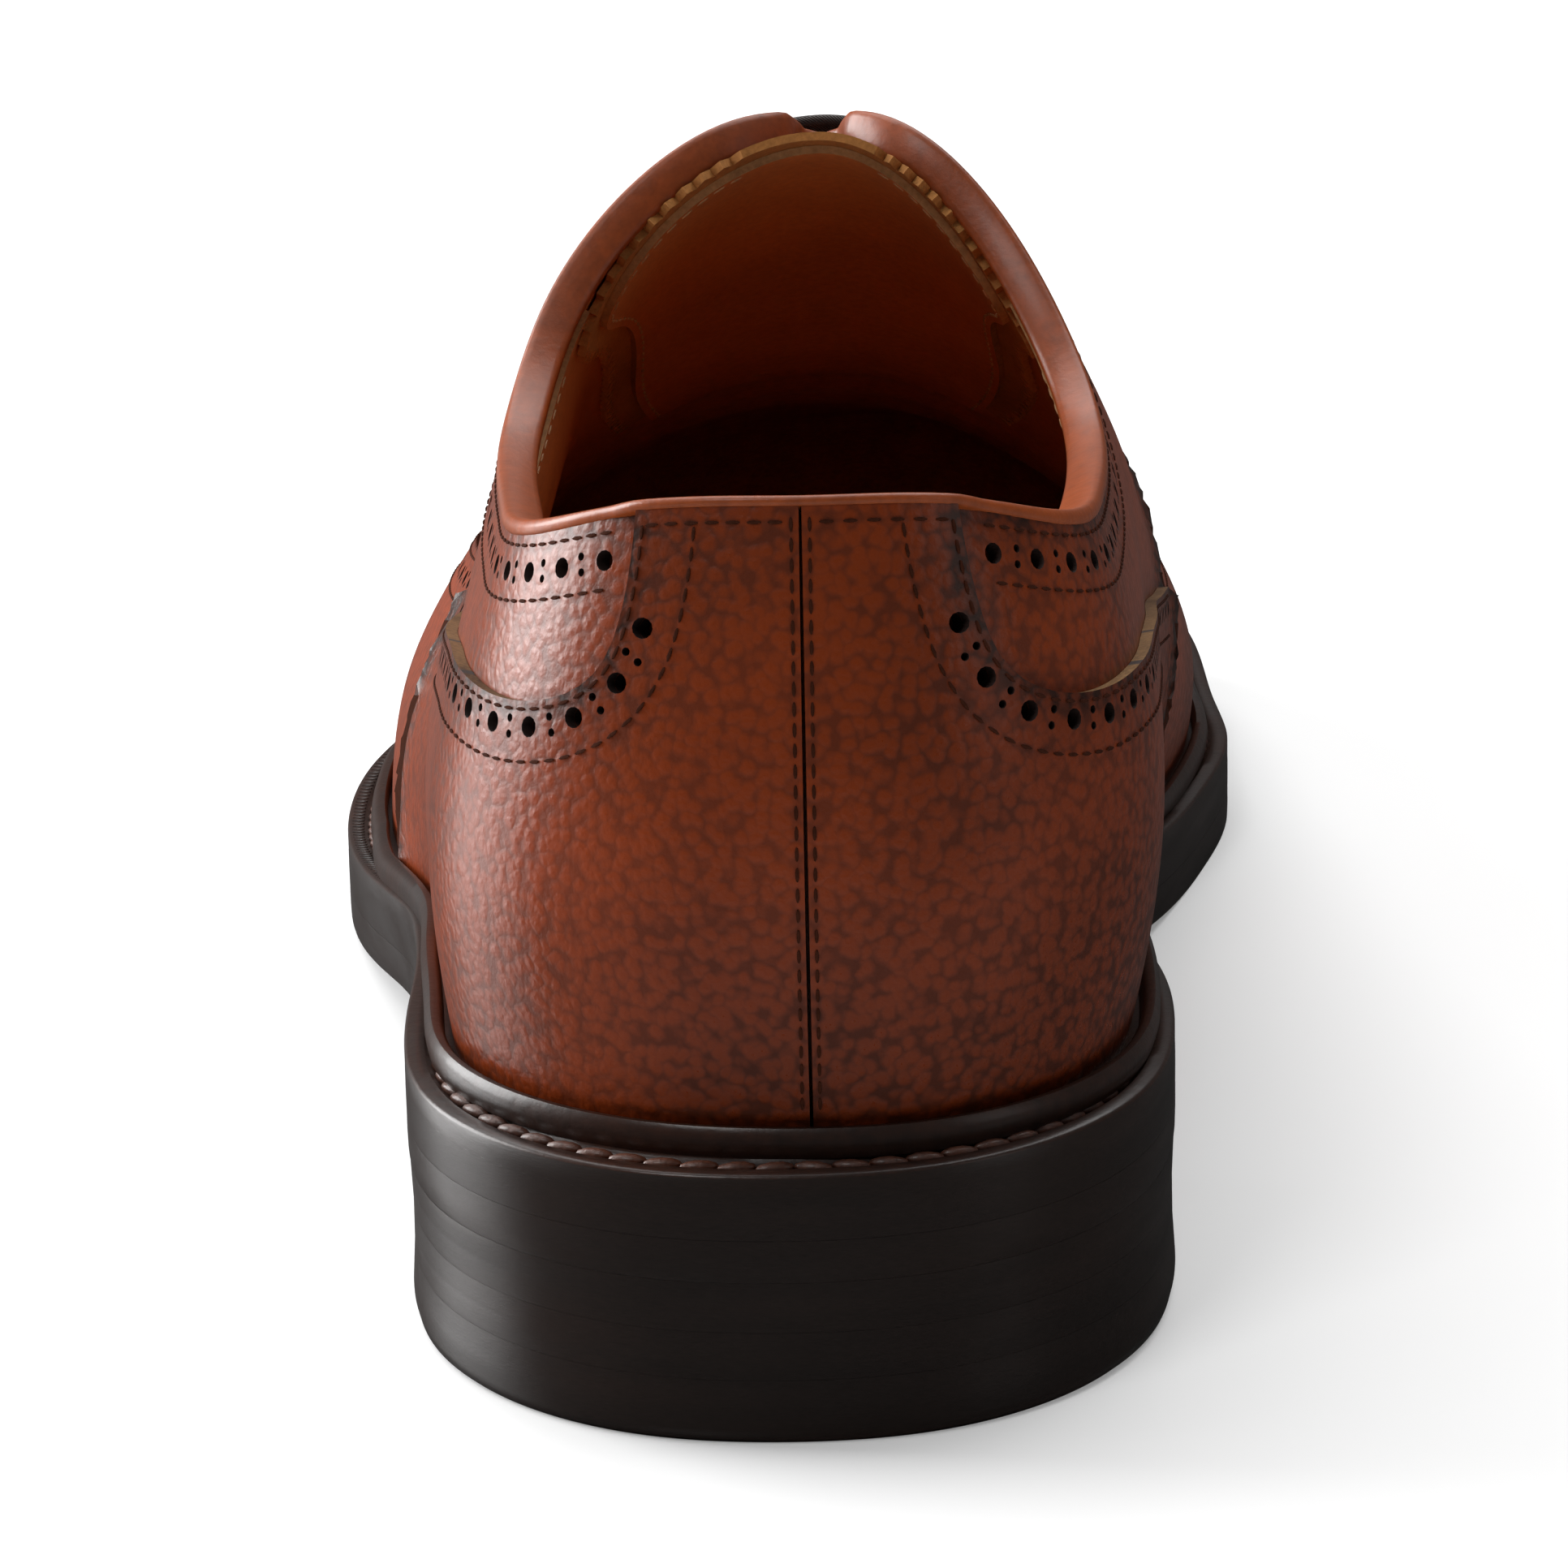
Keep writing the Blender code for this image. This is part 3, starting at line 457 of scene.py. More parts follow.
def parallel(line, inside):
    """The line moved by `inside` mm to the right of its run, which is into the piece that it bounds."""
    line = np.asarray(line, float)
    run = np.gradient(line, axis=0)
    ahead, above = metric(line)
    e, f, g = (ahead**2).sum(-1), (ahead * above).sum(-1), (above**2).sum(-1)
    across = np.stack([-(f * run[:, 0] + g * run[:, 1]), e * run[:, 0] + f * run[:, 1]], axis=-1)
    across /= np.sqrt(np.maximum(e * g - f**2, 1e-9))[:, None]
    length = np.linalg.norm(across[:, :1] * ahead + across[:, 1:] * above, axis=-1)
    return line - across / length[:, None] * np.asarray(inside)[..., None]


def paced(line, pitch, side="lat", start=0.0):
    """Points on the line at even steps of about `pitch` mm over the surface."""
    line = np.asarray(line, float)
    points = upper_surface(side, np.clip(line[:, 0], 0, 1), np.clip(line[:, 1], 0, 1))
    way = np.concatenate([[0], np.cumsum(np.linalg.norm(np.diff(points, axis=0), axis=1))])
    count = max(int(round((way[-1] - 2 * start) / pitch)), 1)
    places = np.linspace(start, way[-1] - start, count + 1)
    return np.stack([np.interp(places, way, line[:, 0]), np.interp(places, way, line[:, 1])], axis=-1)


def pinked(line, pitch, depth):
    """The line cut into saw-teeth, `depth` mm deep."""
    steps = paced(line, pitch / 2)
    return parallel(steps, np.where(np.arange(len(steps)) % 2, depth, 0.0))


def within(line, low=(-1, -1), high=(2, 2)):
    line = np.asarray(line)
    return line[(line >= low).all(axis=1) & (line <= high).all(axis=1)]


def linked_mesh(name, bm):
    """Links a new object that holds the mesh, and frees it."""
    mesh = bpy.data.meshes.new(name)
    bm.to_mesh(mesh)
    bm.free()
    obj = bpy.data.objects.new(name, mesh)
    bpy.context.scene.collection.objects.link(obj)
    return obj


def new_object(name, bm, materials, replaced=(), sharp_degrees=35):
    """Makes the mesh a piece that rides on the shoe and stands for the named nodes."""
    piece = linked_mesh(name, bm)
    piece.data.shade_smooth()
    piece.data.set_sharp_from_angle(angle=radians(sharp_degrees))
    for material in materials:
        piece.data.materials.append(material)
    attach(piece, "root")
    if replaced:
        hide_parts(*replaced)
    return piece


def grid_piece(rows):
    """A mesh ruled through rows of points in mm: one grid, shaped by its rows."""
    rows = np.asarray(rows, float)
    count, width = rows.shape[:2]
    bm = bmesh.new()
    bm.loops.layers.uv.new("UVMap")
    bmesh.ops.create_grid(bm, x_segments=width - 1, y_segments=count - 1, size=0.5, calc_uvs=True)
    places = to_world(rows)
    for vert in bm.verts:
        vert.co = places[round((vert.co.y + 0.5) * (count - 1)), round((vert.co.x + 0.5) * (width - 1))]
    return bm


def close_up(bm, fill=False):
    bmesh.ops.remove_doubles(bm, verts=bm.verts, dist=WELD / 3)
    if fill:
        bmesh.ops.holes_fill(bm, edges=[edge for edge in bm.edges if edge.is_boundary])
    bmesh.ops.recalc_face_normals(bm, faces=bm.faces)
    return bm


def flat_object(name, bm):
    bmesh.ops.recalc_face_normals(bm, faces=bm.faces)
    return linked_mesh(name, bm)


def raise_up(bm, faces, height):
    raised = bmesh.ops.extrude_face_region(bm, geom=faces, use_keep_orig=True)["geom"]
    verts = [v for v in raised if isinstance(v, bmesh.types.BMVert)]
    bmesh.ops.translate(bm, verts=verts, vec=(0, 0, height))


def flat_sheet(low, high):
    """Half of the upper unrolled flat, from `low` to `high` mm outside its face."""
    bm = bmesh.new()
    bmesh.ops.create_grid(bm, x_segments=CELLS_ALONG, y_segments=CELLS_UP, size=0.5)
    for vert in bm.verts:
        vert.co = ((vert.co.x + 0.5) * FLAT_LENGTH, (vert.co.y + 0.5) * FLAT_HEIGHT, low * MM)
    raise_up(bm, bm.faces[:], (high - low) * MM)
    return flat_object("flat_sheet", bm)


def knife(outline):
    """A straight-sided cutter of a pattern piece's outline."""
    bm = bmesh.new()
    corners = [bm.verts.new((a * FLAT_LENGTH, u * FLAT_HEIGHT, -KNIFE_REACH)) for a, u in outline]
    bm.faces.new(corners)
    raise_up(bm, bm.faces[:], 2 * KNIFE_REACH)
    return flat_object("knife", bm)


def punches(holes):
    """Cutters for round holes, from rows of (along, up, radius in mm)."""
    holes = np.asarray(holes, float)
    bm = bmesh.new()
    for (along, up, radius), ahead, above in zip(holes, *metric(holes[:, :2])):
        e, f, g = ahead @ ahead, ahead @ above, above @ above
        root = np.sqrt(g - f * f / e)
        spread = Matrix(((1 / np.sqrt(e), -f / e / root), (0, 1 / root)))
        ring = bmesh.ops.create_circle(bm, cap_ends=True, segments=PUNCH_SIDES, radius=radius)["verts"]
        for vert in ring:
            step = spread @ vert.co.xy
            vert.co = ((along + step.x) * FLAT_LENGTH, (up + step.y) * FLAT_HEIGHT, -KNIFE_REACH)
    raise_up(bm, bm.faces[:], 2 * KNIFE_REACH)
    return flat_object("punches", bm)


def cut_flat(outline, low, high, holes=()):
    """The flat sheet inside the outline and without its holes, as a mesh."""
    sheet = flat_sheet(low, high)
    cutters = [("INTERSECT", knife(outline))]
    if len(holes):
        cutters.append(("DIFFERENCE", punches(holes)))
    for operation, cutter in cutters:
        cut = sheet.modifiers.new(operation.lower(), "BOOLEAN")
        cut.operation = operation
        cut.solver = "MANIFOLD"
        cut.object = cutter
    mesh = bpy.data.meshes.new_from_object(sheet.evaluated_get(bpy.context.evaluated_depsgraph_get()))
    for obj in [sheet] + [cutter for _, cutter in cutters]:
        bpy.data.objects.remove(obj, do_unlink=True)
    if not mesh.polygons:
        raise RuntimeError("a pattern piece was cut away whole")
    return mesh


def distance_to(line, points):
    """Rough distance in mm from each pattern point to the line's points."""
    scale = np.array([FLAT_LENGTH, FLAT_HEIGHT]) / MM
    gaps = points[:, None] * scale - np.asarray(line)[None] * scale
    return np.sqrt((gaps**2).sum(-1)).min(axis=1)


def wrap(bm, flat, side, open_lines, rim_line, curl=None, rim_reach=RIM_REACH):
    """Adds a flat piece to `bm`, wrapped on one side of the last and open along the named seams.

    The outer face stands out and is burnished along the line `curl`."""
    piece = bmesh.new()
    piece.from_mesh(flat)
    places = np.array([v.co[:] for v in piece.verts])
    along, up, out = places[:, 0] / FLAT_LENGTH, places[:, 1] / FLAT_HEIGHT, places[:, 2] / MM
    on_seam = {
        "toe": np.isclose(along, 1),
        "crown": np.isclose(up, 1),
        "back": np.isclose(along, 0, atol=1e-5),
    }
    # The rim attribute darkens the face near the piece's edges: partly a real burnish, partly painted shade
    # along the seams
    rim = piece.verts.layers.float.new("rim")
    gaps = np.zeros(len(along))
    if rim_line is not None:
        gaps = distance_to(rim_line, np.stack([along, up], axis=-1))
        for vert, value in zip(piece.verts, np.exp(-gaps / RIM_BURNISH_AND_SHADE_FADE)):
            vert[rim] = value
    if curl is not None:
        near = distance_to(curl, np.stack([along, up], axis=-1))
        for vert, value in zip(piece.verts, BURNISH * np.exp(-near / BURNISH_REACH)):
            vert[rim] = max(vert[rim], value)
        out = out + (out > out.mean()) * CURL * np.exp(-near / CURL_REACH)
        stained = near < STAIN_REACH
    walls = []
    for face in piece.faces:
        if abs(face.normal.z) > 0.5:
            face.material_index = FACE if face.normal.z > 0 else BACK
            if curl is not None and all(stained[v.index] for v in face.verts):
                face.material_index = BACK
        else:
            face.material_index = EDGE if gaps[face.verts[0].index] < rim_reach else HOLE
        if any(all(on_seam[line][v.index] for v in face.verts) for line in open_lines):
            walls.append(face)
    bmesh.ops.delete(piece, geom=walls, context="FACES_ONLY")
    for vert, point in zip(piece.verts, to_world(skin_point(side, along, up, out))):
        vert.co = point
    if side == "med":
        bmesh.ops.reverse_faces(piece, faces=piece.faces)
    mesh = bpy.data.meshes.new("wrapped")
    piece.to_mesh(mesh)
    piece.free()
    bm.from_mesh(mesh)
    bpy.data.meshes.remove(mesh)


def leather_shell(flat, open_lines=("toe", "crown"), rim_line=None):
    """One mesh that covers both sides of the shoe and is joined along the open lines."""
    bm = bmesh.new()
    for side in SIDES:
        wrap(bm, flat, side, open_lines, rim_line)
    bmesh.ops.remove_doubles(bm, verts=bm.verts, dist=WELD)
    return bm


def leather_side(flat, side, rim_line=None, curl=None, rim_reach=RIM_REACH):
    bm = bmesh.new()
    wrap(bm, flat, side, (), rim_line, curl, rim_reach)
    bmesh.ops.remove_doubles(bm, verts=bm.verts, dist=WELD / 3)
    return bm


def add_stitches(bm, side, line, out, pitch, length, width):
    """A row of sewn stitches, each a short rounded bar that lies on the leather."""
    line = within(paced(line, pitch, side), (0, 0), (1, 1))
    if len(line) < 2:
        return
    middles = (line[1:] + line[:-1]) / 2
    centres = to_world(skin_point(side, middles[:, 0], middles[:, 1], out))
    ends = to_world(skin_point(side, line[:, 0], line[:, 1], out))
    normals = upper_normal(side, middles[:, 0], middles[:, 1])
    for centre, run, normal in zip(centres, ends[1:] - ends[:-1], normals):
        lay_bar(bm, centre, run, normal, length, width, width * STITCH_HEIGHT)


def lay_bar(bm, centre, run, normal, length, width, height, detail=1):
    """One rounded bar of thread: a small ball drawn out along `run`, with sizes in mm."""
    run = Vector(run).normalized()
    across = Vector(normal).cross(run).normalized()
    level = run.cross(across)
    turn = Matrix((run, across, level)).transposed().to_4x4()
    shape = Matrix.Diagonal((length * MM / 2, width * MM / 2, height * MM / 2, 1))
    matrix = Matrix.Translation(Vector(centre)) @ turn @ shape
    bmesh.ops.create_icosphere(bm, subdivisions=detail, radius=1, matrix=matrix)


# Distances in mm from a piece's edge to its rows of stitches and holes
TAIL_ROWS = {"stitches": (0.8, 5.6), "holes": 2.4}
COLLAR_ROWS = {"stitches": (2.3, 7.4), "holes": 4.8}
FRONT_ROWS = {"stitches": (2.4, 3.9)}
CAP_ROWS = {"stitches": (1.5, 6.6), "holes": 3.9}
# The part of the pattern that each row keeps to, as its lowest and its highest (along, up)
WINDOWS = {
    "tail_holes": ((0.012, 0.05), (0.447, 0.425)),
    "collar_holes": ((0.068, 0.30), (0.345, 0.86)),
    "cap_holes": ((0.47, 0.1), (0.99, 0.992)),
    "tail_edge": ((0.006, 0.02), (0.45, 0.523)),
    "collar_on_tail": ((0.0, 0), (0.054, 0.6)),
    "collar_on_quarter": ((0.063, 0.3), (0.352, 0.925)),
    "front_on_quarter": ((0, 0.345), (0.56, 0.955)),
    "front_on_tail": ((0, 0.0), (0.56, 0.315)),
    "cap_edge": ((0.46, 0.05), (0.99, 1.0)),
    "lining_top": ((0.001, 0), (0.322, 1)),
    "lining_seam": ((0.0, 0), (0.31, 1)),
}
HOLE_SPAN = (0.006, 0.994)
PAIR_SPREAD = 0.75
EYELET_UP, EYELET_RADIUS = 0.868, 1.7
# A stitch's height as a share of its width, how far its middle lies over the leather, and the plain rows
STITCH_HEIGHT, STITCH_LIFT = 0.7, 0.06
BACK_ROW, BACK_ROW_ASIDE = ((0.0, 0.035), (0.0, 0.525)), 0.8
FACING_ROW = ((0.356, 0.93), (0.357, 0.86), (0.366, 0.80), (0.43, 0.787), (0.49, 0.775), (0.512, 0.80))
ROW_STEPS = 40
# The pale rows inside, each with its pitch, its stitches' length and their width in mm
LINING_SEWN, TONGUE_SEWN = (2.3, 1.7, 0.45), (2.4, 1.7, 0.45)
LINING_ROW_DROP, TONGUE_ROW_DROP = 1.3, 1.1
LINING_ROW_OUT = -UPPER_WALL - 0.82
# Each overlay lies this far over the piece below, and the lining between these distances inside the vamp
UNDER_GAP = 0.05
LINING_LOW, LINING_HIGH = -UPPER_WALL - 0.75, -UPPER_WALL - UNDER_GAP
LINING_DROP = 4.6
# The tongue's face layer, the band that its lining leaves bare, and how far its pieces reach over the crown
TONGUE_LOOK = 0.9
TONGUE_BAND = 4.6
TONGUE_CROWN, TONGUE_END = 1.04, 1.05
CAP_GAP = 0.0045
TEETH_SETBACK = 0.0006
TAIL_RIM = 0.7

# The medallion's holes, from the middle line: (mm ahead of its centre, mm aside, share of a large hole)
MEDALLION_ALONG = 0.868
MEDALLION = (
    (0, 0, 1.1), (6.5, 0, 0.7), (-6.5, 0, 0.7), (0, 6.5, 0.7), (4.6, 4.6, 0.5), (-4.6, 4.6, 0.5),
    (12.5, 0, 1.0), (11, 5.0, 0.5), (7.6, 9.4, 0.7), (2.6, 12.0, 0.5), (-3.0, 12.6, 1.0), (-8.6, 10.6, 0.5),
    (-12.6, 6.4, 0.7), (-15.0, 0, 1.0), (3.4, 17.0, 0.5), (-3.6, 18.4, 0.7), (-10.4, 16.4, 0.5),
)


def clipped(line, up):
    """The part of a line under `up`."""
    return line[line[:, 1] < up]


def front_line():
    return smooth_line(FRONT_EDGE)


def tail_line():
    line = smooth_line(TAIL_EDGE)
    front = clipped(front_line() - (TAIL_SETBACK, 0), TAIL_FRONT_UP)
    return line[line[:, 0] < front[-1, 0]]


def cap_line():
    front = clipped(front_line() + (CAP_GAP, 0), WING_REAR_UP)
    line = smooth_line(WING_EDGE)
    return line[line[:, 0] > front[-1, 0] + EDGE_GAP]


def collar_line(first=0.0, last=FACING_TOP[0]):
    line = np.vstack([smooth_line(TOPLINE), [FACING_TOP]])
    ups = np.interp((first, min(last, line[-1, 0])), line[:, 0], line[:, 1])
    inner = line[(line[:, 0] > first) & (line[:, 0] < last)]
    return np.vstack([[first, ups[0]], inner, [min(last, line[-1, 0]), ups[1]]])


def row_of(line, inside, window):
    """The line `inside` mm into its piece, as far as the window goes."""
    return within(parallel(line, inside), *WINDOWS[window])


def brogue_holes(line, punch):
    """Large holes with a pair of small ones between, in rows of (along, up, radius)."""
    large, small = punch.large_hole / MM / 2, punch.small_hole / MM / 2
    places = paced(line, punch.hole_pitch / MM)
    middles = paced(line, punch.hole_pitch / MM / 2)[1::2]
    holes = [(a, u, large) for a, u in places]
    for inside in (-PAIR_SPREAD, PAIR_SPREAD):
        holes += [(a, u, small) for a, u in parallel(middles, np.full(len(middles), inside))]
    first, last = HOLE_SPAN
    return [hole for hole in holes if first < hole[0] < last]


def tail_holes(punch):
    return brogue_holes(row_of(tail_line(), TAIL_ROWS["holes"], "tail_holes"), punch)


def collar_holes(punch):
    return brogue_holes(row_of(collar_line(), COLLAR_ROWS["holes"], "collar_holes"), punch)


def cap_holes(punch):
    return brogue_holes(row_of(cap_line(), CAP_ROWS["holes"], "cap_holes"), punch)


def medallion_holes(punch):
    centre = np.array([[MEDALLION_ALONG, 1.0]])
    ahead, above = metric(centre)
    step_ahead, step_aside = 1 / np.linalg.norm(ahead[0]), 1 / np.linalg.norm(above[0])
    return [
        (MEDALLION_ALONG + forward * step_ahead, 1.0 - aside * step_aside, share * punch.large_hole / MM / 2)
        for forward, aside, share in MEDALLION
    ]


def eyelet_places():
    return [(along, EYELET_UP) for along in np.linspace(FIRST_BAR, LAST_BAR, LACE_BARS)]


def saw_teeth(line, share=1.0):
    punch = bpy.context.scene.brogue_punching
    return pinked(line, punch.pinking_pitch / MM, punch.pinking_depth / MM * share)


def quarter_outline():
    """The quarter's outline, with its front edge cut into saw-teeth up to the facing's corner."""
    front = front_line()
    toothed = np.vstack([[front[0, 0], -BEYOND], saw_teeth(front[:-4])])
    outline = [(BACK_SEAM, -BEYOND)] + toothed.tolist() + front[-3:].tolist()
    return outline + collar_line(BACK_SEAM).tolist()[::-1]


def tail_outline():
    """The long wing's rear end. Its front end is cut into saw-teeth over the quarter's own."""
    front = clipped(front_line() - (TEETH_SETBACK, 0), TAIL_FRONT_UP)
    front = np.vstack([front[:1], saw_teeth(front), front[-1:]])
    top = collar_line(BACK_SEAM, TAIL_EDGE[0][0] - BACK_SEAM)
    edge = clipped(tail_line(), top[-1, 1])
    outline = [(BACK_SEAM, -BEYOND), (front[0, 0], -BEYOND)] + front.tolist()
    return outline + edge.tolist()[::-1] + top.tolist()[::-1]


def cap_outline():
    """Half of the wing cap, on past the toe and the crown, with shallow saw-teeth along the wing."""
    front = clipped(front_line() + (CAP_GAP, 0), WING_REAR_UP)
    edge = within(saw_teeth(cap_line(), 0.5), high=(2, 1.0))
    outline = [(front[0, 0], -BEYOND), (1 + BEYOND, -BEYOND), (1 + BEYOND, 1 + BEYOND)]
    return outline + [(edge[-1, 0], 1 + BEYOND)] + edge.tolist()[::-1] + front.tolist()[::-1]


def make_upper(leathers):
    """The upper's own wall: the vamp that shows between the overlays, and the lining inside."""
    outline = [(-BEYOND, -BEYOND), (1 + BEYOND, -BEYOND), (1 + BEYOND, 1 + BEYOND)]
    outline += [(FACING_END[0], 1 + BEYOND), FACING_END] + collar_line().tolist()[::-1]
    outline += [(-BEYOND, TOPLINE[0][1])]
    flat = cut_flat(outline, -UPPER_WALL, 0.0)
    bm = leather_shell(flat, ("toe", "crown", "back"))
    new_object("vamp_and_lining", bm, leathers["vamp", "edge", "lining", "edge"], ["upper"])

    top = row_of(collar_line(), LINING_DROP, "lining_top")
    outline = [(-BEYOND, -BEYOND), (top[-1, 0], -BEYOND)] + top.tolist()[::-1] + [(-BEYOND, top[0, 1])]
    flat = cut_flat(outline, LINING_LOW, LINING_HIGH)
    bm = leather_shell(flat, ("back",), top)
    new_object("inner_lining", bm, leathers["lining", "raw", "lining", "raw"])


def make_quarters(leathers):
    punch = bpy.context.scene.brogue_punching
    holes = collar_holes(punch) + tail_holes(punch)
    holes += [(along, up, EYELET_RADIUS) for along, up in eyelet_places()]
    flat = cut_flat(quarter_outline(), UNDER_GAP, QUARTER_FACE, holes)
    rim = np.vstack([front_line(), collar_line()])
    for side, word in zip(SIDES, WORDS):
        bm = leather_side(flat, side, rim, front_line())
        name = f"dressed_quarter_{word}"
        new_object(name, bm, leathers["upper", "edge", "edge", "hole"], [f"quarter_{word}"])


def make_tails(leathers):
    punch = bpy.context.scene.brogue_punching
    flat = cut_flat(tail_outline(), QUARTER_FACE + UNDER_GAP, TAIL_FACE, tail_holes(punch))
    for side, word in zip(SIDES, WORDS):
        bm = leather_side(flat, side, tail_line(), front_line(), TAIL_RIM)
        finishes = leathers["overlay", "cut", "edge", "hole"]
        new_object(f"dressed_wing_tail_{word}", bm, finishes, [f"wing_tail_{word}"])


def make_cap(leathers):
    punch = bpy.context.scene.brogue_punching
    flat = cut_flat(cap_outline(), UNDER_GAP, WING_FACE, cap_holes(punch) + medallion_holes(punch))
    bm = leather_shell(flat, ("toe", "crown"), cap_line())
    finishes = leathers["overlay", "edge", "edge", "hole"]
    new_object("dressed_wing_cap", bm, finishes, ["wing_cap"])


def make_tongue(leathers):
    """The tongue: its toothed face layer, the lining on it and the row that holds them together."""
    punch = bpy.context.scene.brogue_punching
    foot, *edge, top = TONGUE_EDGE
    line = smooth_line(edge)
    toothed = pinked(line, punch.tongue_pitch / MM, punch.tongue_depth / MM)
    face = -UPPER_WALL - GAP
    outline = [foot] + within(toothed, high=(2, TONGUE_CROWN)).tolist() + [top]
    bm = leather_shell(cut_flat(outline, face - TONGUE_LOOK, face), rim_line=line)
    finishes = leathers["upper", "suede", "suede", "suede"]
    new_object("dressed_tongue", bm, finishes, ["tongue"])

    inner = within(parallel(line, TONGUE_BAND), high=(2, TONGUE_CROWN))
    outline = [(inner[0, 0], TONGUE_END)] + inner.tolist() + [(inner[-1, 0], TONGUE_END)]
    flat = cut_flat(outline, face - TONGUE_THICK, face - TONGUE_LOOK - UNDER_GAP)
    bm = leather_shell(flat, rim_line=inner)
    new_object("tongue_lining", bm, leathers["lining", "raw", "lining", "raw"])
    stitches = bmesh.new()
    row = within(parallel(line, TONGUE_BAND + TONGUE_ROW_DROP), high=(2, 1.0))
    for side in SIDES:
        add_stitches(stitches, side, row, face - TONGUE_THICK - UNDER_GAP, *TONGUE_SEWN)
    new_object("tongue_stitches", stitches, leathers["light_thread"])


def swept(path, normals, profile):
    """Rows of points swept along a path in mm. The profile gives mm across and mm out at each step."""
    across = np.cross(np.gradient(path, axis=0), normals)
    across /= np.linalg.norm(across, axis=1, keepdims=True)
    profile = np.concatenate([profile, profile[:, :1]], axis=1)
    return path[:, None] + across[:, None] * profile[..., :1] + normals[:, None] * profile[..., 1:]


def both_ends(count):
    """The number of steps from each point of a row to its nearer end."""
    steps = np.arange(count)
    return np.minimum(steps, steps[::-1])


def squared(values, power):
    """Sines or cosines pushed out, so that they draw a squarer round."""
    return np.sign(values) * np.abs(values) ** power


# The topline's bead: the pace of its sections, its half-width, its drop under the edge and how square it is.
# Rows of (along, out) give its outer face, and of (along, share) how much slimmer it gets round the heel
BEAD_STEP = 1.5
BEAD_SIDES = 16
BEAD_HALF = 1.0
BEAD_DROP = 0.62
HEEL_BEAD, SIDE_BEAD = TAIL_FACE + 0.3, QUARTER_FACE + 0.35
BEAD_OUT = ((0.0, HEEL_BEAD), (0.056, HEEL_BEAD), (0.070, SIDE_BEAD), (1.0, SIDE_BEAD))
BEAD_IN = -UPPER_WALL - 0.45
BEAD_END = (0.3765, 0.9965)
BOXY = 0.55
BEAD_SLIM = ((0.0, 0.62), (0.06, 0.68), (0.13, 1.0), (1.0, 1.0))
END_TAPER = (2, 0.25)


def make_binding(leathers):
    """The rolled leather bead along the topline, from one facing round the heel to the other."""
    half = paced(np.vstack([collar_line(), [BEAD_END]]), BEAD_STEP)
    half[:, 0] = np.clip(half[:, 0], 0, 1)
    paths, normals = [], []
    for side, places in (("lat", half[::-1]), ("med", half[1:])):
        paths.append(skin_point(side, places[:, 0], places[:, 1], np.zeros(len(places))))
        normals.append(upper_normal(side, places[:, 0], places[:, 1]))
    path, normal = np.concatenate(paths), np.concatenate(normals)
    along = np.concatenate([half[::-1, 0], half[1:, 0]])
    high, slim = np.interp(along, *zip(*BEAD_OUT)), np.interp(along, *zip(*BEAD_SLIM))
    middle, reach = (high + BEAD_IN) / 2, (high - BEAD_IN) / 2
    taper = np.clip(both_ends(len(path)) / END_TAPER[0], END_TAPER[1], 1) ** 0.5
    turns = np.linspace(0, 2 * pi, BEAD_SIDES, endpoint=False)
    across = squared(np.cos(turns), BOXY) * (BEAD_HALF * slim * taper)[:, None] + (BEAD_DROP * slim)[:, None]
    out = middle[:, None] + squared(np.sin(turns), BOXY) * (reach * taper)[:, None]
    bm = close_up(grid_piece(swept(path, normal, np.stack([across, out], axis=-1))), fill=True)
    new_object("topline_bead", bm, leathers["binding"], sharp_degrees=60)


def make_seams(leathers):
    """The rows of stitches on the upper's outside and round its lining."""
    punch = bpy.context.scene.brogue_punching
    sewn = punch.stitch_pitch / MM, punch.stitch_length / MM, punch.stitch_width / MM
    on_quarter, on_tail, on_cap = (face + STITCH_LIFT for face in (QUARTER_FACE, TAIL_FACE, WING_FACE))
    rows = [(row_of(tail_line(), inside, "tail_edge"), on_tail) for inside in TAIL_ROWS["stitches"]]
    rows.append((row_of(collar_line(), COLLAR_ROWS["stitches"][0], "collar_on_tail"), on_tail))
    for inside in COLLAR_ROWS["stitches"]:
        rows.append((row_of(collar_line(), inside, "collar_on_quarter"), on_quarter))
    for inside in FRONT_ROWS["stitches"]:
        rows.append((row_of(front_line(), inside, "front_on_quarter"), on_quarter))
        rows.append((row_of(front_line(), inside, "front_on_tail"), on_tail))
    rows += [(row_of(cap_line(), inside, "cap_edge"), on_cap) for inside in CAP_ROWS["stitches"]]
    rows.append((smooth_line(FACING_ROW, ROW_STEPS), on_quarter))
    rows.append((parallel(np.linspace(*BACK_ROW, ROW_STEPS), BACK_ROW_ASIDE), on_tail))
    lining_row = row_of(collar_line(), LINING_DROP + LINING_ROW_DROP, "lining_seam")
    dark, light = bmesh.new(), bmesh.new()
    for side in SIDES:
        for row, out in rows:
            add_stitches(dark, side, row, out, *sewn)
        add_stitches(light, side, lining_row, LINING_ROW_OUT, *LINING_SEWN)
    new_object("upper_stitches", dark, leathers["thread"])
    new_object("lining_stitches", light, leathers["light_thread"])


def full_round(rows):
    """Joins each side's rows (places, points, 3) into one ring of sections round the shoe."""
    lateral, medial = rows
    return np.concatenate([lateral, medial[-2::-1]])


# The welt's section, in mm. GROOVE's rows go in from the edge as (distance, height over the ledge), and
# RIB_RISE's go up and over the rib as (out of the upper, height over the ledge)
WELT_COUNT = 170
WELT_SKIRT, WELT_SHOULDER = 0.25, 0.35
GROOVE = ((0.35, 0.0), (1.9, 0.0), (2.2, -0.35), (2.9, -0.75), (3.9, -0.75), (4.5, -0.35), (4.8, 0.0))
RIB_RISE = ((2.3, 0.0), (2.25, 1.2), (1.9, 2.3), (1.2, 2.95), (0.55, 2.9), (0.15, 2.2), (0.3, 0.6))
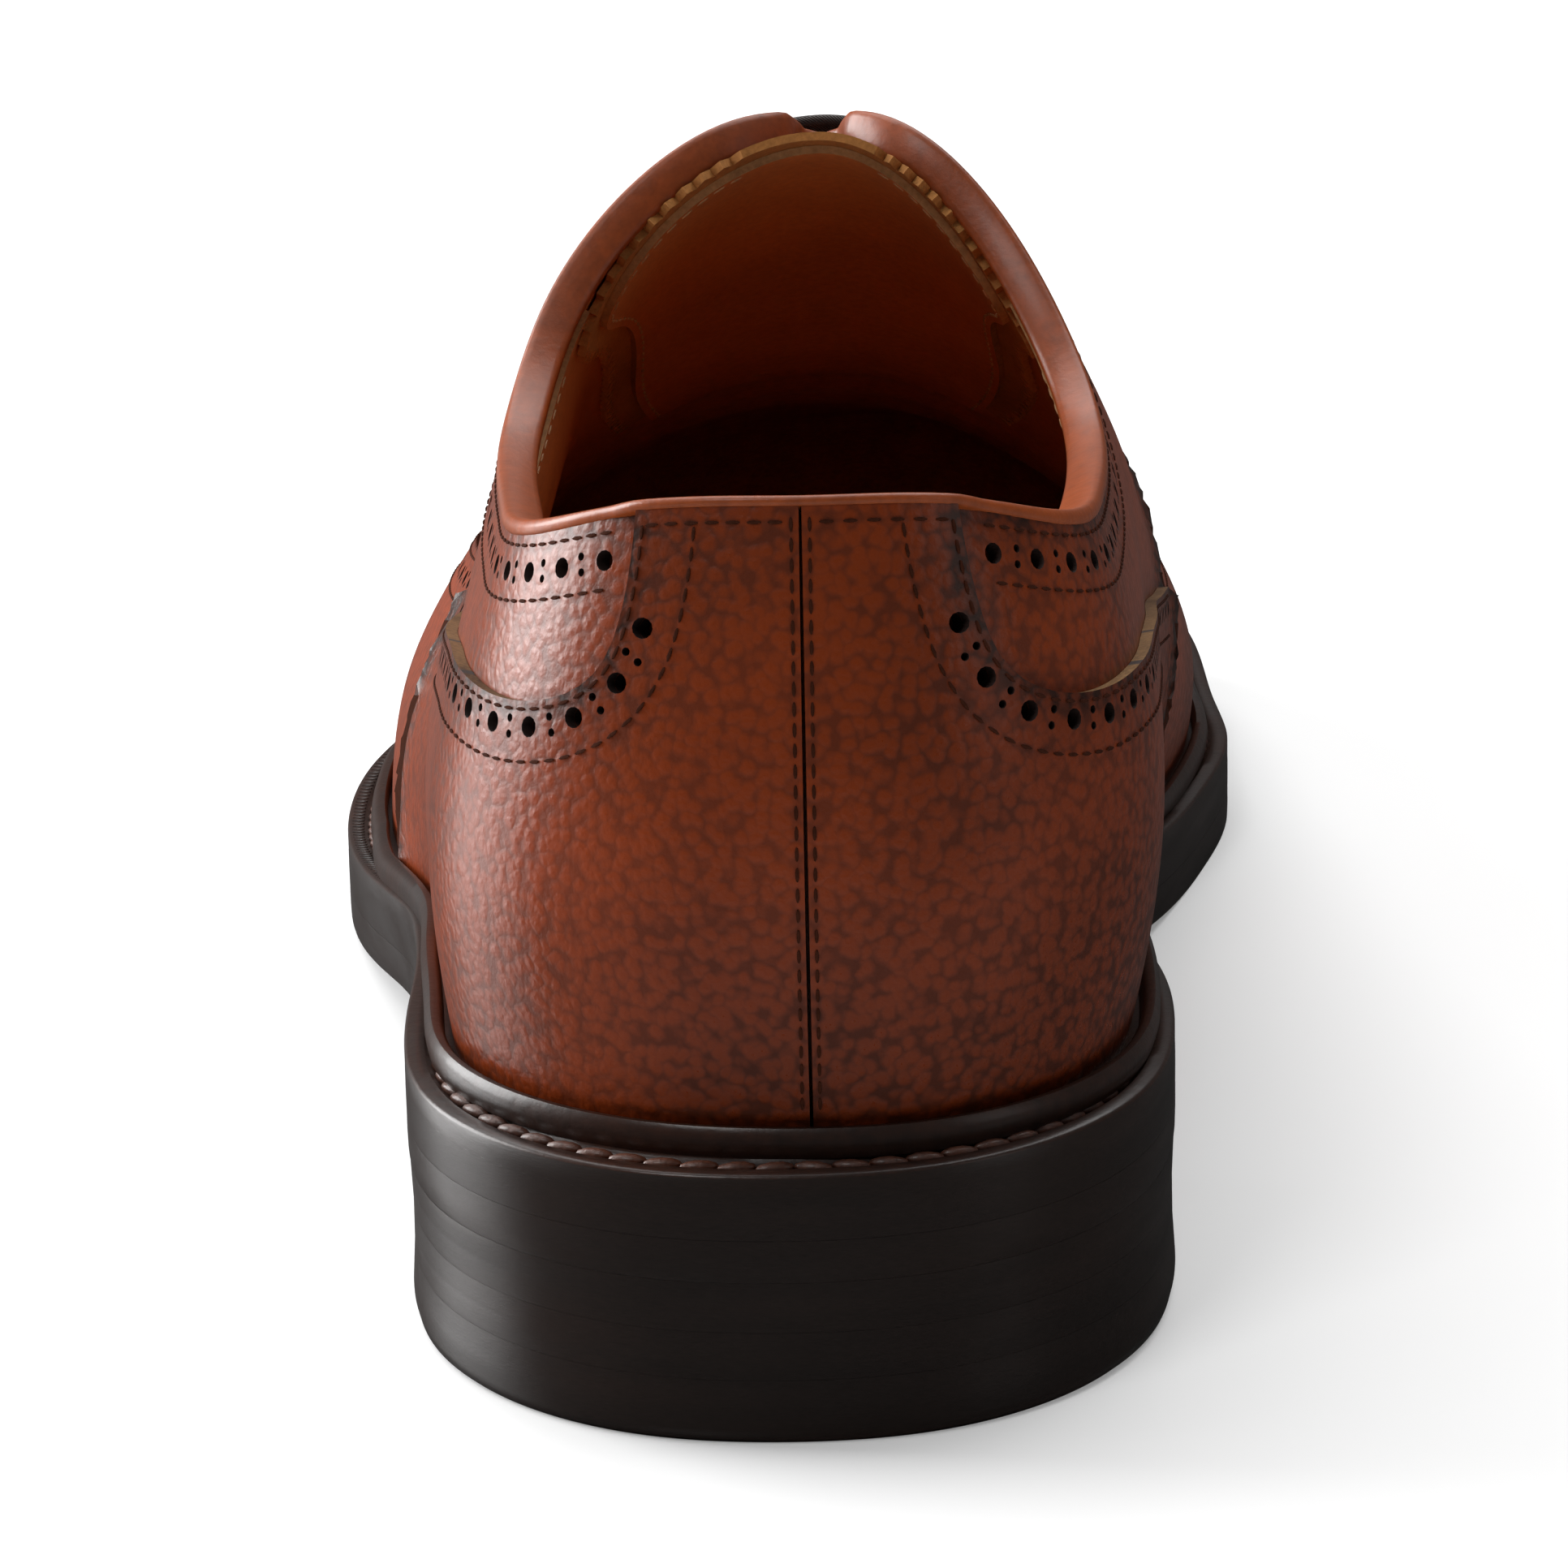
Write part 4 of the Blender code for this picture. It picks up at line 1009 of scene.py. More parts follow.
# The wall that the sole's finish covers: how far under the ledge it starts, and how level a face may lie
WALL_TOP, WALL_LEVEL = -0.1, 0.4
# How far in from the edge the thread and the wheel marks lie, how deep they sink, and their sizes
THREAD_IN, THREAD_SINK, THREAD_HEIGHT = 3.4, 0.42, 0.85
MARK_IN, MARK_SINK = 0.35, 0.02
MARK_LENGTH, MARK_WIDTH, MARK_HEIGHT = 1.9, 0.75, 0.45
MARK_FIRST, MARK_LAST = 0.37, 0.80
WALK_STEPS, WALK_RUN = 1600, 0.004
UP_WAY = (0, 0, 1)


def welt_top(points):
    return ground_rise(points[..., 1]) + WELT_TOP


def inward(side, lines, distance):
    """Points on the welt `distance` mm in from its edge, with z left at 0."""
    edge = edge_line(side, lines)
    foot = upper_surface(side, lines, np.zeros_like(lines))
    run = foot - edge
    run[:, 2] = 0
    return edge + run / np.linalg.norm(run, axis=1, keepdims=True) * distance


def welt_ring(side, lines, clearance):
    """The welt's sections on one side, each a closed row of points."""
    edge, zero = edge_line(side, lines), np.zeros_like(lines)
    profile = [(edge, WELT_BASE - WELT_SKIRT - WELT_TOP), (edge, -WELT_SHOULDER)]
    profile += [(inward(side, lines, distance), height) for distance, height in GROOVE]
    profile += [
        (layer_point(side, lines, zero + RIB_UP * height / RIB_HEIGHT, clearance + out), height)
        for out, height in RIB_RISE
    ]
    inner = layer_point(side, lines, zero, -UPPER_WALL - WELT_INNER)
    profile += [(inner, 0.0), (inner, WELT_BASE - WELT_TOP)]
    ring = []
    for points, height in profile:
        points = np.array(points)
        points[:, 2] = welt_top(points) + height
        ring.append(points)
    return np.stack(ring + ring[:1], axis=1)


def welt_walk(side):
    """Even places round the welt, and the way to each along its thread in mm."""
    places = np.linspace(0, 1, WALK_STEPS)
    strides = np.linalg.norm(np.diff(inward(side, places, THREAD_IN), axis=0), axis=1)
    return places, np.concatenate([[0], np.cumsum(strides)])


def add_welt_thread(bm, side, welt):
    """The slanting stitches that lie in the welt's groove on one side."""
    places, way = welt_walk(side)
    count = int(way[-1] / (welt.thread_pitch / MM))
    along = np.interp((np.arange(count) + 0.5) / count * way[-1], way, places)
    points = inward(side, along, THREAD_IN)
    points[:, 2] = welt_top(points) - THREAD_SINK
    ahead = inward(side, np.clip(along + WALK_RUN, 0, 1), THREAD_IN)
    x, y, _ = (ahead - inward(side, np.clip(along - WALK_RUN, 0, 1), THREAD_IN)).T
    turn = np.radians(welt.thread_slant if side == "lat" else -welt.thread_slant)
    cosine, sine = np.cos(turn), np.sin(turn)
    runs = np.stack([x * cosine - y * sine, x * sine + y * cosine, 0 * x], axis=-1)
    long, wide = welt.thread_length / MM, welt.thread_width / MM
    for point, run in zip(to_world(points), runs):
        lay_bar(bm, point, run, UP_WAY, long, wide, wide * THREAD_HEIGHT, detail=2)


def add_wheel_marks(bm, side, welt):
    """The short ribs that a wheel leaves across the welt's rim round the forefoot."""
    places, way = welt_walk(side)
    along = np.interp(np.arange(0, way[-1], welt.mark_pitch / MM), way, places)
    along = along[(along > MARK_FIRST) & (along < MARK_LAST)]
    outer, inner = inward(side, along, MARK_IN), inward(side, along, MARK_IN + MARK_LENGTH)
    middles = (outer + inner) / 2
    middles[:, 2] = welt_top(middles) - MARK_SINK
    for point, run in zip(to_world(middles), inner - outer):
        lay_bar(bm, point, run, UP_WAY, MARK_LENGTH, MARK_WIDTH, MARK_HEIGHT)


def make_welt(leathers):
    """The storm welt: its grooved ledge, the rib that leans on the upper, its thread and the wheel marks."""
    welt = bpy.context.scene.brogue_welt
    lines = np.linspace(0, 1, WELT_COUNT)
    clearance = np.interp(lines, *zip(*RIB_CLEARANCE))
    bm = close_up(grid_piece(full_round([welt_ring(side, lines, clearance) for side in SIDES])))
    for face in bm.faces:
        middle = face.calc_center_median()
        height = middle.z / MM - ground_rise(middle.y / MM + ORIGIN[1]) - WELT_TOP
        face.material_index = int(height < WALL_TOP and abs(face.normal.z) < WALL_LEVEL)
    new_object("storm_welt", bm, leathers["welt", "sole_edge"], ["welt"], sharp_degrees=50)

    thread, marks = bmesh.new(), bmesh.new()
    for side in SIDES:
        add_welt_thread(thread, side, welt)
    add_wheel_marks(marks, "lat", welt)
    new_object("welt_thread", thread, leathers["welt_thread"])
    new_object("welt_wheel_marks", marks, leathers["welt"])


def sole_sections(lines, rim, bottom, top, hollow=0.0):
    """Closed sections across the sole: the rim's rows of (mm out, height), over the middle and back under."""
    columns = []
    for side in SIDES:
        points = []
        for out, height in rim:
            point = edge_line(side, lines, np.broadcast_to(out, lines.shape))
            point[:, 2] = height(point[:, 1])
            points.append(point)
        columns.append(points)
    middle = (columns[0][0] + columns[1][0]) / 2
    middle[-1, 1] -= hollow
    low, high = middle.copy(), middle.copy()
    low[:, 2], high[:, 2] = bottom(middle[:, 1]), top(middle[:, 1])
    loop = [low] + columns[0] + [high] + columns[1][::-1] + [low]
    return np.stack(loop, axis=1)


SOLE_COUNT = 130
# A row for each layer: the heights of its faces, and how far its edge stands out at each of EDGE_HEIGHTS
EDGE_HEIGHTS = (0.0, 0.08, 0.5, 0.92, 1.0)
SOLE_LAYERS = (
    ("midsole", MIDSOLE_BASE - 0.24, WELT_BASE - 0.02, (0.0, 0.02, 0.03, 0.02, 0.0)),
    ("outsole", 0.0, MIDSOLE_BASE - 0.27, (-0.12, -0.03, 0.02, 0.02, 0.0)),
)


def make_soles(leathers):
    """The midsole and the outsole, each with a softly rounded edge."""
    lines = np.linspace(0, 1, SOLE_COUNT)
    for name, base, top, outs in SOLE_LAYERS:
        heights = np.array(EDGE_HEIGHTS) * (top - base)

        def at_height(height):
            return lambda y: ground_rise(y) + base + height

        rim = [(out, at_height(height)) for out, height in zip(outs, heights)]
        rows = sole_sections(lines, rim, at_height(0.0), at_height(top - base))
        bm = close_up(grid_piece(rows))
        new_object(f"dressed_{name}", bm, leathers["sole_edge"], [name], sharp_degrees=50)


LAYER_GROOVE = 0.012
LAYER_EDGE = ((0.0, LAYER_GROOVE), (0.08, 0.0), (0.25, 0.0), (0.6, 0.0), (0.92, 0.0), (1.0, LAYER_GROOVE))
# How far the heel's wall stands out from the sole's edge, with a row of (height, out) for each change
HEEL_PROFILE = ((0.0, -0.9), (0.5, -0.3), (1.3, 0.0), (6.0, -0.30), (11.0, -0.35), (HEEL_RISE, -0.12))
HEEL_COUNT, BREAST_STEPS, BREAST_LAST = 70, 400, 0.4
JOINT = 0.02
HEEL_TOP = HEEL_RISE + 0.1


def make_heel(leathers):
    """The stacked heel: each lift in thin layers whose joints show as faint lines."""
    fine = np.linspace(0, BREAST_LAST, BREAST_STEPS)
    breast = float(np.interp(BREAST_Y, edge_line("lat", fine)[:, 1], fine))
    lines = np.linspace(0, breast, HEEL_COUNT)
    tops = [lift.base - JOINT for lift in LIFTS[1:]] + [HEEL_TOP - JOINT]
    for lift, top in zip(LIFTS, tops):

        def at_share(share, top=top, lift=lift):
            return lambda y: np.minimum(lift.base + (top - lift.base) * share, ground_rise(y) - JOINT)

        rim = []
        for layer in range(lift.layers):
            for part, dip in LAYER_EDGE:
                share = (layer + part) / lift.layers
                out = np.interp(lift.base + (top - lift.base) * share, *zip(*HEEL_PROFILE))
                rim.append((out - dip, at_share(share)))
        rows = sole_sections(lines, rim, at_share(0.0), at_share(1.0), BREAST_HOLLOW)
        bm = close_up(grid_piece(rows), fill=True)
        name = f"dressed_{lift.name}"
        new_object(name, bm, leathers["sole_edge"], [lift.name], sharp_degrees=50)


INSOLE_COUNT = 90
INSOLE_UP, INSOLE_INSET, INSOLE_SINK = 0.03, 0.9, 0.3
# Across the insole, with a row of (share of the way from the inner side, rise in mm) for each line
INSOLE_DISH = ((1.0, 1.6), (0.93, 0.4), (0.75, -0.1), (0.5, -0.3), (0.25, -0.1), (0.07, 0.4), (0.0, 1.6))


def make_insole(leathers):
    """The insole with its leather sock, a little dished and turned up where it meets the lining."""
    lines = np.linspace(0, 1, INSOLE_COUNT)
    ups = np.full_like(lines, INSOLE_UP)
    lateral, medial = (layer_point(side, lines, ups, -(UPPER_WALL + INSOLE_INSET)) for side in SIDES)

    def line_across(share, height):
        points = lateral * share + medial * (1 - share)
        points[:, 2] = ground_rise(points[:, 1]) + height
        return points

    over = [line_across(share, INSOLE_TOP + rise - INSOLE_SINK) for share, rise in INSOLE_DISH]
    under = [line_across(share, WELT_BASE + INSOLE_SINK) for share, _ in INSOLE_DISH[::-1]]
    bm = close_up(grid_piece(np.stack(over + under + over[:1], axis=1)))
    new_object("dressed_insole", bm, leathers["lining"], ["insole"])


# The lace's section, how square it is, the steps of half a bar, and how narrow it gets in the eyelet
LACE_SIDES, LACE_SQUARE = 16, (0.6, 0.8)
LACE_STEPS, LACE_START = 14, EYELET_UP + 0.02
LACE_INSIDE, LACE_IN_EYELET = -0.4, QUARTER_FACE * 0.6
SQUEEZE, SQUEEZE_STEP = 0.55, 0.15


def make_laces(leathers):
    """Flat woven bars that cross between the facings and dive through their eyelets."""
    lace = bpy.context.scene.brogue_laces
    width, thick = lace.width / MM, lace.thickness / MM
    turns = np.linspace(0, 2 * pi, LACE_SIDES, endpoint=False)
    corners = squared(np.cos(turns), LACE_SQUARE[0]), squared(np.sin(turns), LACE_SQUARE[1])
    section = np.stack(corners, axis=-1) * (width / 2, thick / 2)
    ups = np.concatenate([[EYELET_UP, EYELET_UP], np.linspace(LACE_START, 1, LACE_STEPS)])
    outs = np.full(len(ups), QUARTER_FACE + GAP + thick / 2)
    outs[:3] = LACE_INSIDE, LACE_IN_EYELET, QUARTER_FACE + thick / 2
    for number, (along, _) in enumerate(eyelet_places(), 1):
        places = np.full(len(ups), along)
        path = full_round([skin_point(side, places, ups, outs) for side in SIDES])
        normals = full_round([upper_normal(side, places, ups) for side in SIDES])
        runs = np.gradient(path, axis=0)
        runs /= np.linalg.norm(runs, axis=1, keepdims=True)
        across = np.cross(runs, normals)
        # In the eyelet the lace runs along the normal, so there it lies level with the facing's run
        across = np.where(np.linalg.norm(across, axis=1, keepdims=True) < 0.3, [[0, 1, 0]], across)
        across /= np.linalg.norm(across, axis=1, keepdims=True)
        above = np.cross(across, runs)
        squeeze = np.clip(SQUEEZE + both_ends(len(path)) * SQUEEZE_STEP, 0, 1)
        rows = path[:, None] + across[:, None] * section[None, :, :1] * squeeze[:, None, None]
        rows = rows + above[:, None] * section[None, :, 1:]
        bm = close_up(grid_piece(np.concatenate([rows, rows[:, :1]], axis=1)), fill=True)
        name = f"woven_lace_bar_{number}"
        new_object(name, bm, leathers["lace"], [f"lace_bar_{number}"], sharp_degrees=60)


def new_material(name):
    """A material with a Principled shader, and a function that adds its nodes."""
    material = bpy.data.materials.new(name)
    material.use_nodes = True
    nodes, links = material.node_tree.nodes, material.node_tree.links

    def node(kind, values=None, **settings):
        made = nodes.new(f"ShaderNode{kind}")
        for key, value in settings.items():
            setattr(made, key, value)
        for socket, value in (values or {}).items():
            if isinstance(value, bpy.types.NodeSocket):
                links.new(value, made.inputs[socket])
            else:
                made.inputs[socket].default_value = value
        return made

    shader = nodes["Principled BSDF"]
    return material, node, shader, links


def mix_colors(node, share, first, second):
    mixed = node("Mix", {0: share, 6: first, 7: second}, data_type="RGBA")
    return mixed.outputs[2]


def spread(node, value, low, high, to_low, to_high):
    values = {"Value": value, "From Min": low, "From Max": high, "To Min": to_low, "To Max": to_high}
    return node("MapRange", values, clamp=True).outputs[0]


def times(node, first, second, operation="MULTIPLY"):
    return node("Math", {0: first, 1: second}, operation=operation).outputs[0]


# The grained leather: how far its pebbles drift and blend, the scales of its finer and broader mottling, and
# the share of the relief that the pebbles and the finer grain make
DRIFT_SCALE, DRIFT_SHARE = 500.0, 0.9
PEBBLE_BLEND, DOME_REACH = 0.35, 0.75
FINE_SCALE, CLOUD_SCALE = 2.6, 22.0
DOME_SHARE, FINE_SHARE = 0.75, 0.45
# How much of the dark colour clouds, valleys and cut edges take, and the gloss from tops to valleys
CLOUD_RANGE, CLOUD_SHADE = (0.36, 0.66), 0.46
VALLEY_REACH, VALLEY_SHADE = 0.45, 0.34
# The dark colour along the cut edges is partly a real burnish and partly painted shade along the seams
RIM_BURNISH_AND_SHADE = 0.55
GLOSS_RANGE, GLOSS = (0.1, 0.6), (0.38, 0.26)
LEATHER_COAT, LEATHER_COAT_ROUGHNESS, LEATHER_SHINE = 0.12, 0.24, 0.28


def grained_leather(name, color, dark):
    """Pebbled leather: domed pebbles of mixed sizes, darker valleys and a burnish along the cut edges."""
    look = bpy.context.scene.brogue_leather
    material, node, shader, links = new_material(name)
    place = node("TexCoord").outputs["Object"]
    drift = node("TexNoise", {"Vector": place, "Scale": DRIFT_SCALE, "Detail": 2.0}).outputs["Color"]
    moved = node("VectorMath", {0: drift, "Scale": look.grain * DRIFT_SHARE}, operation="SCALE").outputs[0]
    bent = node("VectorMath", {0: place, 1: moved}, operation="ADD").outputs[0]
    values = {"Vector": bent, "Scale": 1 / look.grain, "Smoothness": PEBBLE_BLEND}
    pebbles = node("TexVoronoi", values, feature="SMOOTH_F1").outputs["Distance"]
    fine = node("TexNoise", {"Vector": place, "Scale": FINE_SCALE / look.grain, "Detail": 3.0}).outputs[0]
    broad = node("TexNoise", {"Vector": place, "Scale": CLOUD_SCALE, "Detail": 3.0}).outputs[0]
    dome = spread(node, pebbles, 0.0, DOME_REACH, 1.0, 0.0)
    height = times(node, times(node, dome, DOME_SHARE), times(node, fine, FINE_SHARE), "ADD")
    bump = node("Bump", {"Strength": look.grain_strength, "Distance": look.grain_depth, "Height": height})
    links.new(bump.outputs[0], shader.inputs["Normal"])
    # The rim attribute paints shade along the seams on top of the real burnish
    rim = node("Attribute", attribute_name="rim").outputs["Fac"]
    cloud = spread(node, broad, *CLOUD_RANGE, 0.0, CLOUD_SHADE)
    valley = spread(node, dome, 0.0, VALLEY_REACH, VALLEY_SHADE, 0.0)
    shade = times(node, times(node, cloud, valley, "ADD"), times(node, rim, RIM_BURNISH_AND_SHADE), "ADD")
    links.new(mix_colors(node, shade, (*color, 1), (*dark, 1)), shader.inputs["Base Color"])
    roughness = spread(node, times(node, broad, dome), *GLOSS_RANGE, *GLOSS)
    links.new(roughness, shader.inputs["Roughness"])
    shader.inputs["Coat Weight"].default_value = LEATHER_COAT
    shader.inputs["Coat Roughness"].default_value = LEATHER_COAT_ROUGHNESS
    shader.inputs["Specular IOR Level"].default_value = LEATHER_SHINE
    return material


# Smoother leather and thread: the scale, share and range of the mottling, and the play of the roughness
MOTTLE_SCALE, MOTTLE_SHARE, MOTTLE_RANGE = 40.0, 0.6, (0.42, 0.82)
ROUGHNESS_RANGE, ROUGHNESS_SWING = (0.3, 0.7), 0.05
PLAIN_RELIEF, PLAIN_COAT_ROUGHNESS = 0.6, 0.18


def plain_leather(name, color, dark, grain, depth, roughness, coat=0.0, stretch=(1, 1, 1), shine=0.5):
    """Smoother leather, raw cut leather or thread: two colours, a fine broken relief and an even gloss."""
    material, node, shader, links = new_material(name)
    place = node("TexCoord").outputs["Object"]
    place = node("Mapping", {"Vector": place, "Scale": stretch}).outputs[0]
    fine = node("TexNoise", {"Vector": place, "Scale": 1 / grain, "Detail": 5.0, "Roughness": 0.6}).outputs[0]
    broad = node("TexNoise", {"Vector": place, "Scale": MOTTLE_SCALE, "Detail": 2.0}).outputs[0]
    share = times(node, times(node, fine, MOTTLE_SHARE), times(node, broad, MOTTLE_SHARE), "ADD")
    shade = spread(node, share, *MOTTLE_RANGE, 0.0, 1.0)
    links.new(mix_colors(node, shade, (*color, 1), (*dark, 1)), shader.inputs["Base Color"])
    least, most = roughness - ROUGHNESS_SWING, roughness + ROUGHNESS_SWING
    links.new(spread(node, broad, *ROUGHNESS_RANGE, least, most), shader.inputs["Roughness"])
    bump = node("Bump", {"Strength": PLAIN_RELIEF, "Distance": depth, "Height": fine})
    links.new(bump.outputs[0], shader.inputs["Normal"])
    shader.inputs["Specular IOR Level"].default_value = shine
    shader.inputs["Coat Weight"].default_value = coat
    shader.inputs["Coat Roughness"].default_value = PLAIN_COAT_ROUGHNESS
    return material


# The lace's weave: its yarns along and across a bar and their slant, its relief in metres and its finish
WEAVE_SCALE, WEAVE_SLANT = (10.0, 26.0, 1.0), (0, 0, 0.6)
YARN_WAVER, YARN_RELIEF, YARN_DEPTH = 0.4, 0.8, 0.0003
COTTON_ROUGHNESS, COTTON_SHEEN = 0.75, 0.2
LACE_COLOR, LACE_DARK = (0.040, 0.018, 0.011), (0.010, 0.005, 0.004)


def woven_cotton(name, color, dark):
    """Flat woven lace: slanting yarns that follow the bar's own length."""
    material, node, shader, links = new_material(name)
    uv = node("UVMap", uv_map="UVMap").outputs[0]
    scaled = node("Mapping", {"Vector": uv, "Scale": WEAVE_SCALE, "Rotation": WEAVE_SLANT}).outputs[0]
    values = {"Vector": scaled, "Scale": 1.0, "Distortion": YARN_WAVER}
    yarn = node("TexWave", values, bands_direction="Y").outputs["Fac"]
    links.new(mix_colors(node, yarn, (*dark, 1), (*color, 1)), shader.inputs["Base Color"])
    bump = node("Bump", {"Strength": YARN_RELIEF, "Distance": YARN_DEPTH, "Height": yarn})
    links.new(bump.outputs[0], shader.inputs["Normal"])
    shader.inputs["Roughness"].default_value = COTTON_ROUGHNESS
    shader.inputs["Sheen Weight"].default_value = COTTON_SHEEN
    return material


class Leathers(dict):
    """The shoe's finishes by name; several names at once give a list for a piece's face, edge and back."""

    def __getitem__(self, names):
        names = names if isinstance(names, tuple) else (names,)
        return [dict.__getitem__(self, name) for name in names]


FINISHES = Leathers()


PALE_THREAD, PALE_THREAD_DARK = (0.62, 0.40, 0.20), (0.30, 0.15, 0.07)


def tinted(color, share):
    return tuple(part * share for part in color)


def make_finishes():
    """All finishes of the shoe, from the colours in the panel."""
    look = bpy.context.scene.brogue_leather
    upper, overlay, deep = tuple(look.upper_color), tuple(look.overlay_color), tuple(look.deep_color)
    lining, binding, raw = tuple(look.lining_color), tuple(look.binding_color), tuple(look.raw_color)
    suede, edge, welt = tuple(look.suede_color), tuple(look.edge_color), tuple(look.welt_color)
    thread, welt_thread = tuple(look.thread_color), tuple(look.welt_thread_color)
    FINISHES.update(
        upper=grained_leather("upper_leather", upper, deep),
        overlay=grained_leather("overlay_leather", overlay, deep),
        vamp=grained_leather("vamp_leather", upper, deep),
    )
    # A row for each: its key and name, two colours, grain and depth in metres, roughness and what else it has
    for key, name, color, dark, grain, depth, roughness, more in (
        ("lining", "lining_leather", lining, tinted(lining, 0.62), 0.0009, 0.00008, 0.55,
         {"stretch": (1, 1, 1.4)}),
        ("binding", "binding_leather", binding, tinted(binding, 0.55), 0.0014, 0.00012, 0.40,
         {"coat": 0.1, "shine": 0.35}),
        ("raw", "raw_edge", raw, tinted(raw, 0.45), 0.0006, 0.00012, 0.8, {}),
        ("suede", "tongue_flesh_side", suede, tinted(suede, 0.5), 0.0005, 0.00014, 0.85, {"shine": 0.2}),
        ("cut", "long_wing_cut", tinted(raw, 0.5), deep, 0.0006, 0.00012, 0.75, {"shine": 0.2}),
        # The holes' walls are nearly black: partly a stained cut edge, partly painted shade inside the holes
        ("hole", "punched_hole", deep, edge, 0.0006, 0.00008, 0.8, {}),
        ("edge", "stained_cut_edge", tinted(deep, 1.4), deep, 0.0006, 0.00012, 0.9, {"shine": 0.04}),
        ("welt", "welt_leather", welt, edge, 0.0016, 0.00010, 0.34, {"coat": 0.1, "shine": 0.35}),
        ("sole_edge", "sole_edge", tinted(edge, 1.6), edge, 0.0011, 0.00003, 0.38,
         {"coat": 0.04, "stretch": (1, 1, 6), "shine": 0.35}),
        ("thread", "upper_thread", thread, deep, 0.0004, 0.00010, 0.85, {"shine": 0.05}),
        ("light_thread", "lining_thread", PALE_THREAD, PALE_THREAD_DARK, 0.0004, 0.0001, 0.6, {}),
        ("welt_thread", "welt_thread", welt_thread, deep, 0.0005, 0.00016, 0.5, {"coat": 0.2}),
    ):
        FINISHES[key] = plain_leather(name, color, dark, grain, depth, roughness, **more)
    FINISHES["lace"] = woven_cotton("lace_cotton", LACE_COLOR, LACE_DARK)


# The photograph's camera in the shoe's own mm: place, heading and pitch in degrees, and focal length in
# pixels of its full frame. The shoe's middle there is to the left of the frame's, so the camera turns to it.
PHOTO_SIDE = 1932
PHOTO_CAMERA = (10.2, -498.9, 206.6)
PHOTO_HEADING, PHOTO_PITCH = 3.445, 16.104
PHOTO_FOCAL = 5948.3
SHOE_PIXEL = (512, 940)
CLOSER = 1.17
SENSOR = 36.0


def add_camera():
    heading, pitch = radians(PHOTO_HEADING), radians(PHOTO_PITCH)
    right = Vector((cos(heading), -sin(heading), 0))
    forward = Vector((sin(heading) * cos(pitch), cos(heading) * cos(pitch), -sin(pitch)))
    above = right.cross(forward)
    across, down = SHOE_PIXEL[0] - PHOTO_SIDE / 2, SHOE_PIXEL[1] - PHOTO_SIDE / 2
    to_shoe = (forward * PHOTO_FOCAL + right * across - above * down).normalized()
    turn = forward.rotation_difference(to_shoe).to_matrix()
    axes = Matrix((right, above, -forward)).transposed()
    data = bpy.data.cameras.new("photo_camera")
    data.sensor_width = SENSOR
    data.lens = PHOTO_FOCAL * CLOSER / PHOTO_SIDE * SENSOR
    data.clip_start = 0.01
    camera = bpy.data.objects.new("photo_camera", data)
    camera.matrix_world = Matrix.Translation(to_world(PHOTO_CAMERA)) @ (turn @ axes).to_4x4()
    bpy.context.scene.collection.objects.link(camera)
    bpy.context.scene.camera = camera


# The soft lights: each one's name, place and size in metres. Its power is the stage's property of that name
SOFTBOXES = (
    ("key", (-0.55, -0.85, 1.35), (0.5, 0.5)),
    ("side", (-1.00, 0.36, 0.42), (0.75, 0.75)),
    ("top", (0.0, 0.85, 1.9), (2.6, 2.0)),
    ("fill", (1.20, -0.65, 0.60), (0.5, 0.9)),
)
LIGHT_AIM = (0, -0.05, 0.05)
# The floor glows fully between these distances from the shoe, is pale, and is mirrored dark in the leather
FAR_FLOOR = (0.45, 1.2)
FLOOR_CELLS, FLOOR_ROUGHNESS = 8, 0.20
FLOOR_COLOR, MIRRORED_COLOR = (0.86, 0.86, 0.86, 1), (0.05, 0.05, 0.05, 1)


def add_softbox(name, place, size, power):
    data = bpy.data.lights.new(f"{name}_softbox", "AREA")
    data.shape = "RECTANGLE"
    data.size, data.size_y = size
    data.energy = power
    light = bpy.data.objects.new(data.name, data)
    light.location = place
    light.rotation_mode = "QUATERNION"
    light.rotation_quaternion = (Vector(LIGHT_AIM) - Vector(place)).to_track_quat("-Z", "Y")
    bpy.context.scene.collection.objects.link(light)


def white_floor(glow):
    """A white floor that glows further off, and gives the leather's reflections only a dark grey."""
    material, node, shader, links = new_material("white_floor")
    shader.inputs["Roughness"].default_value = FLOOR_ROUGHNESS
    shader.inputs["Emission Color"].default_value = (1, 1, 1, 1)
    rays = node("LightPath").outputs
    far = node("VectorMath", {0: node("TexCoord").outputs["Object"]}, operation="LENGTH").outputs["Value"]
    far = times(node, spread(node, far, *FAR_FLOOR, 0.0, 1 - glow), rays["Is Camera Ray"])
    near = spread(node, rays["Is Glossy Ray"], 0.0, 1.0, glow, 0.0)
    links.new(times(node, near, far, "ADD"), shader.inputs["Emission Strength"])
    grey = mix_colors(node, rays["Is Glossy Ray"], FLOOR_COLOR, MIRRORED_COLOR)
    links.new(grey, shader.inputs["Base Color"])
    return material


def add_floor(stage):
    bm = bmesh.new()
    bmesh.ops.create_grid(bm, x_segments=FLOOR_CELLS, y_segments=FLOOR_CELLS, size=stage.floor_size / 2)
    floor = linked_mesh("floor", bm)
    floor.data.materials.append(white_floor(stage.floor_glow))


def studio_world(sky):
    """White surroundings: full strength where the camera sees them, and `sky` of it as light."""
    world = bpy.data.worlds.new("studio")
    world.use_nodes = True
    nodes, links = world.node_tree.nodes, world.node_tree.links
    background = nodes["Background"]
    background.inputs["Color"].default_value = (1, 1, 1, 1)
    rays = nodes.new("ShaderNodeLightPath")
    seen = nodes.new("ShaderNodeMapRange")
    seen.inputs["To Min"].default_value = sky
    links.new(rays.outputs["Is Camera Ray"], seen.inputs["Value"])
    links.new(seen.outputs["Result"], background.inputs["Strength"])
    return world


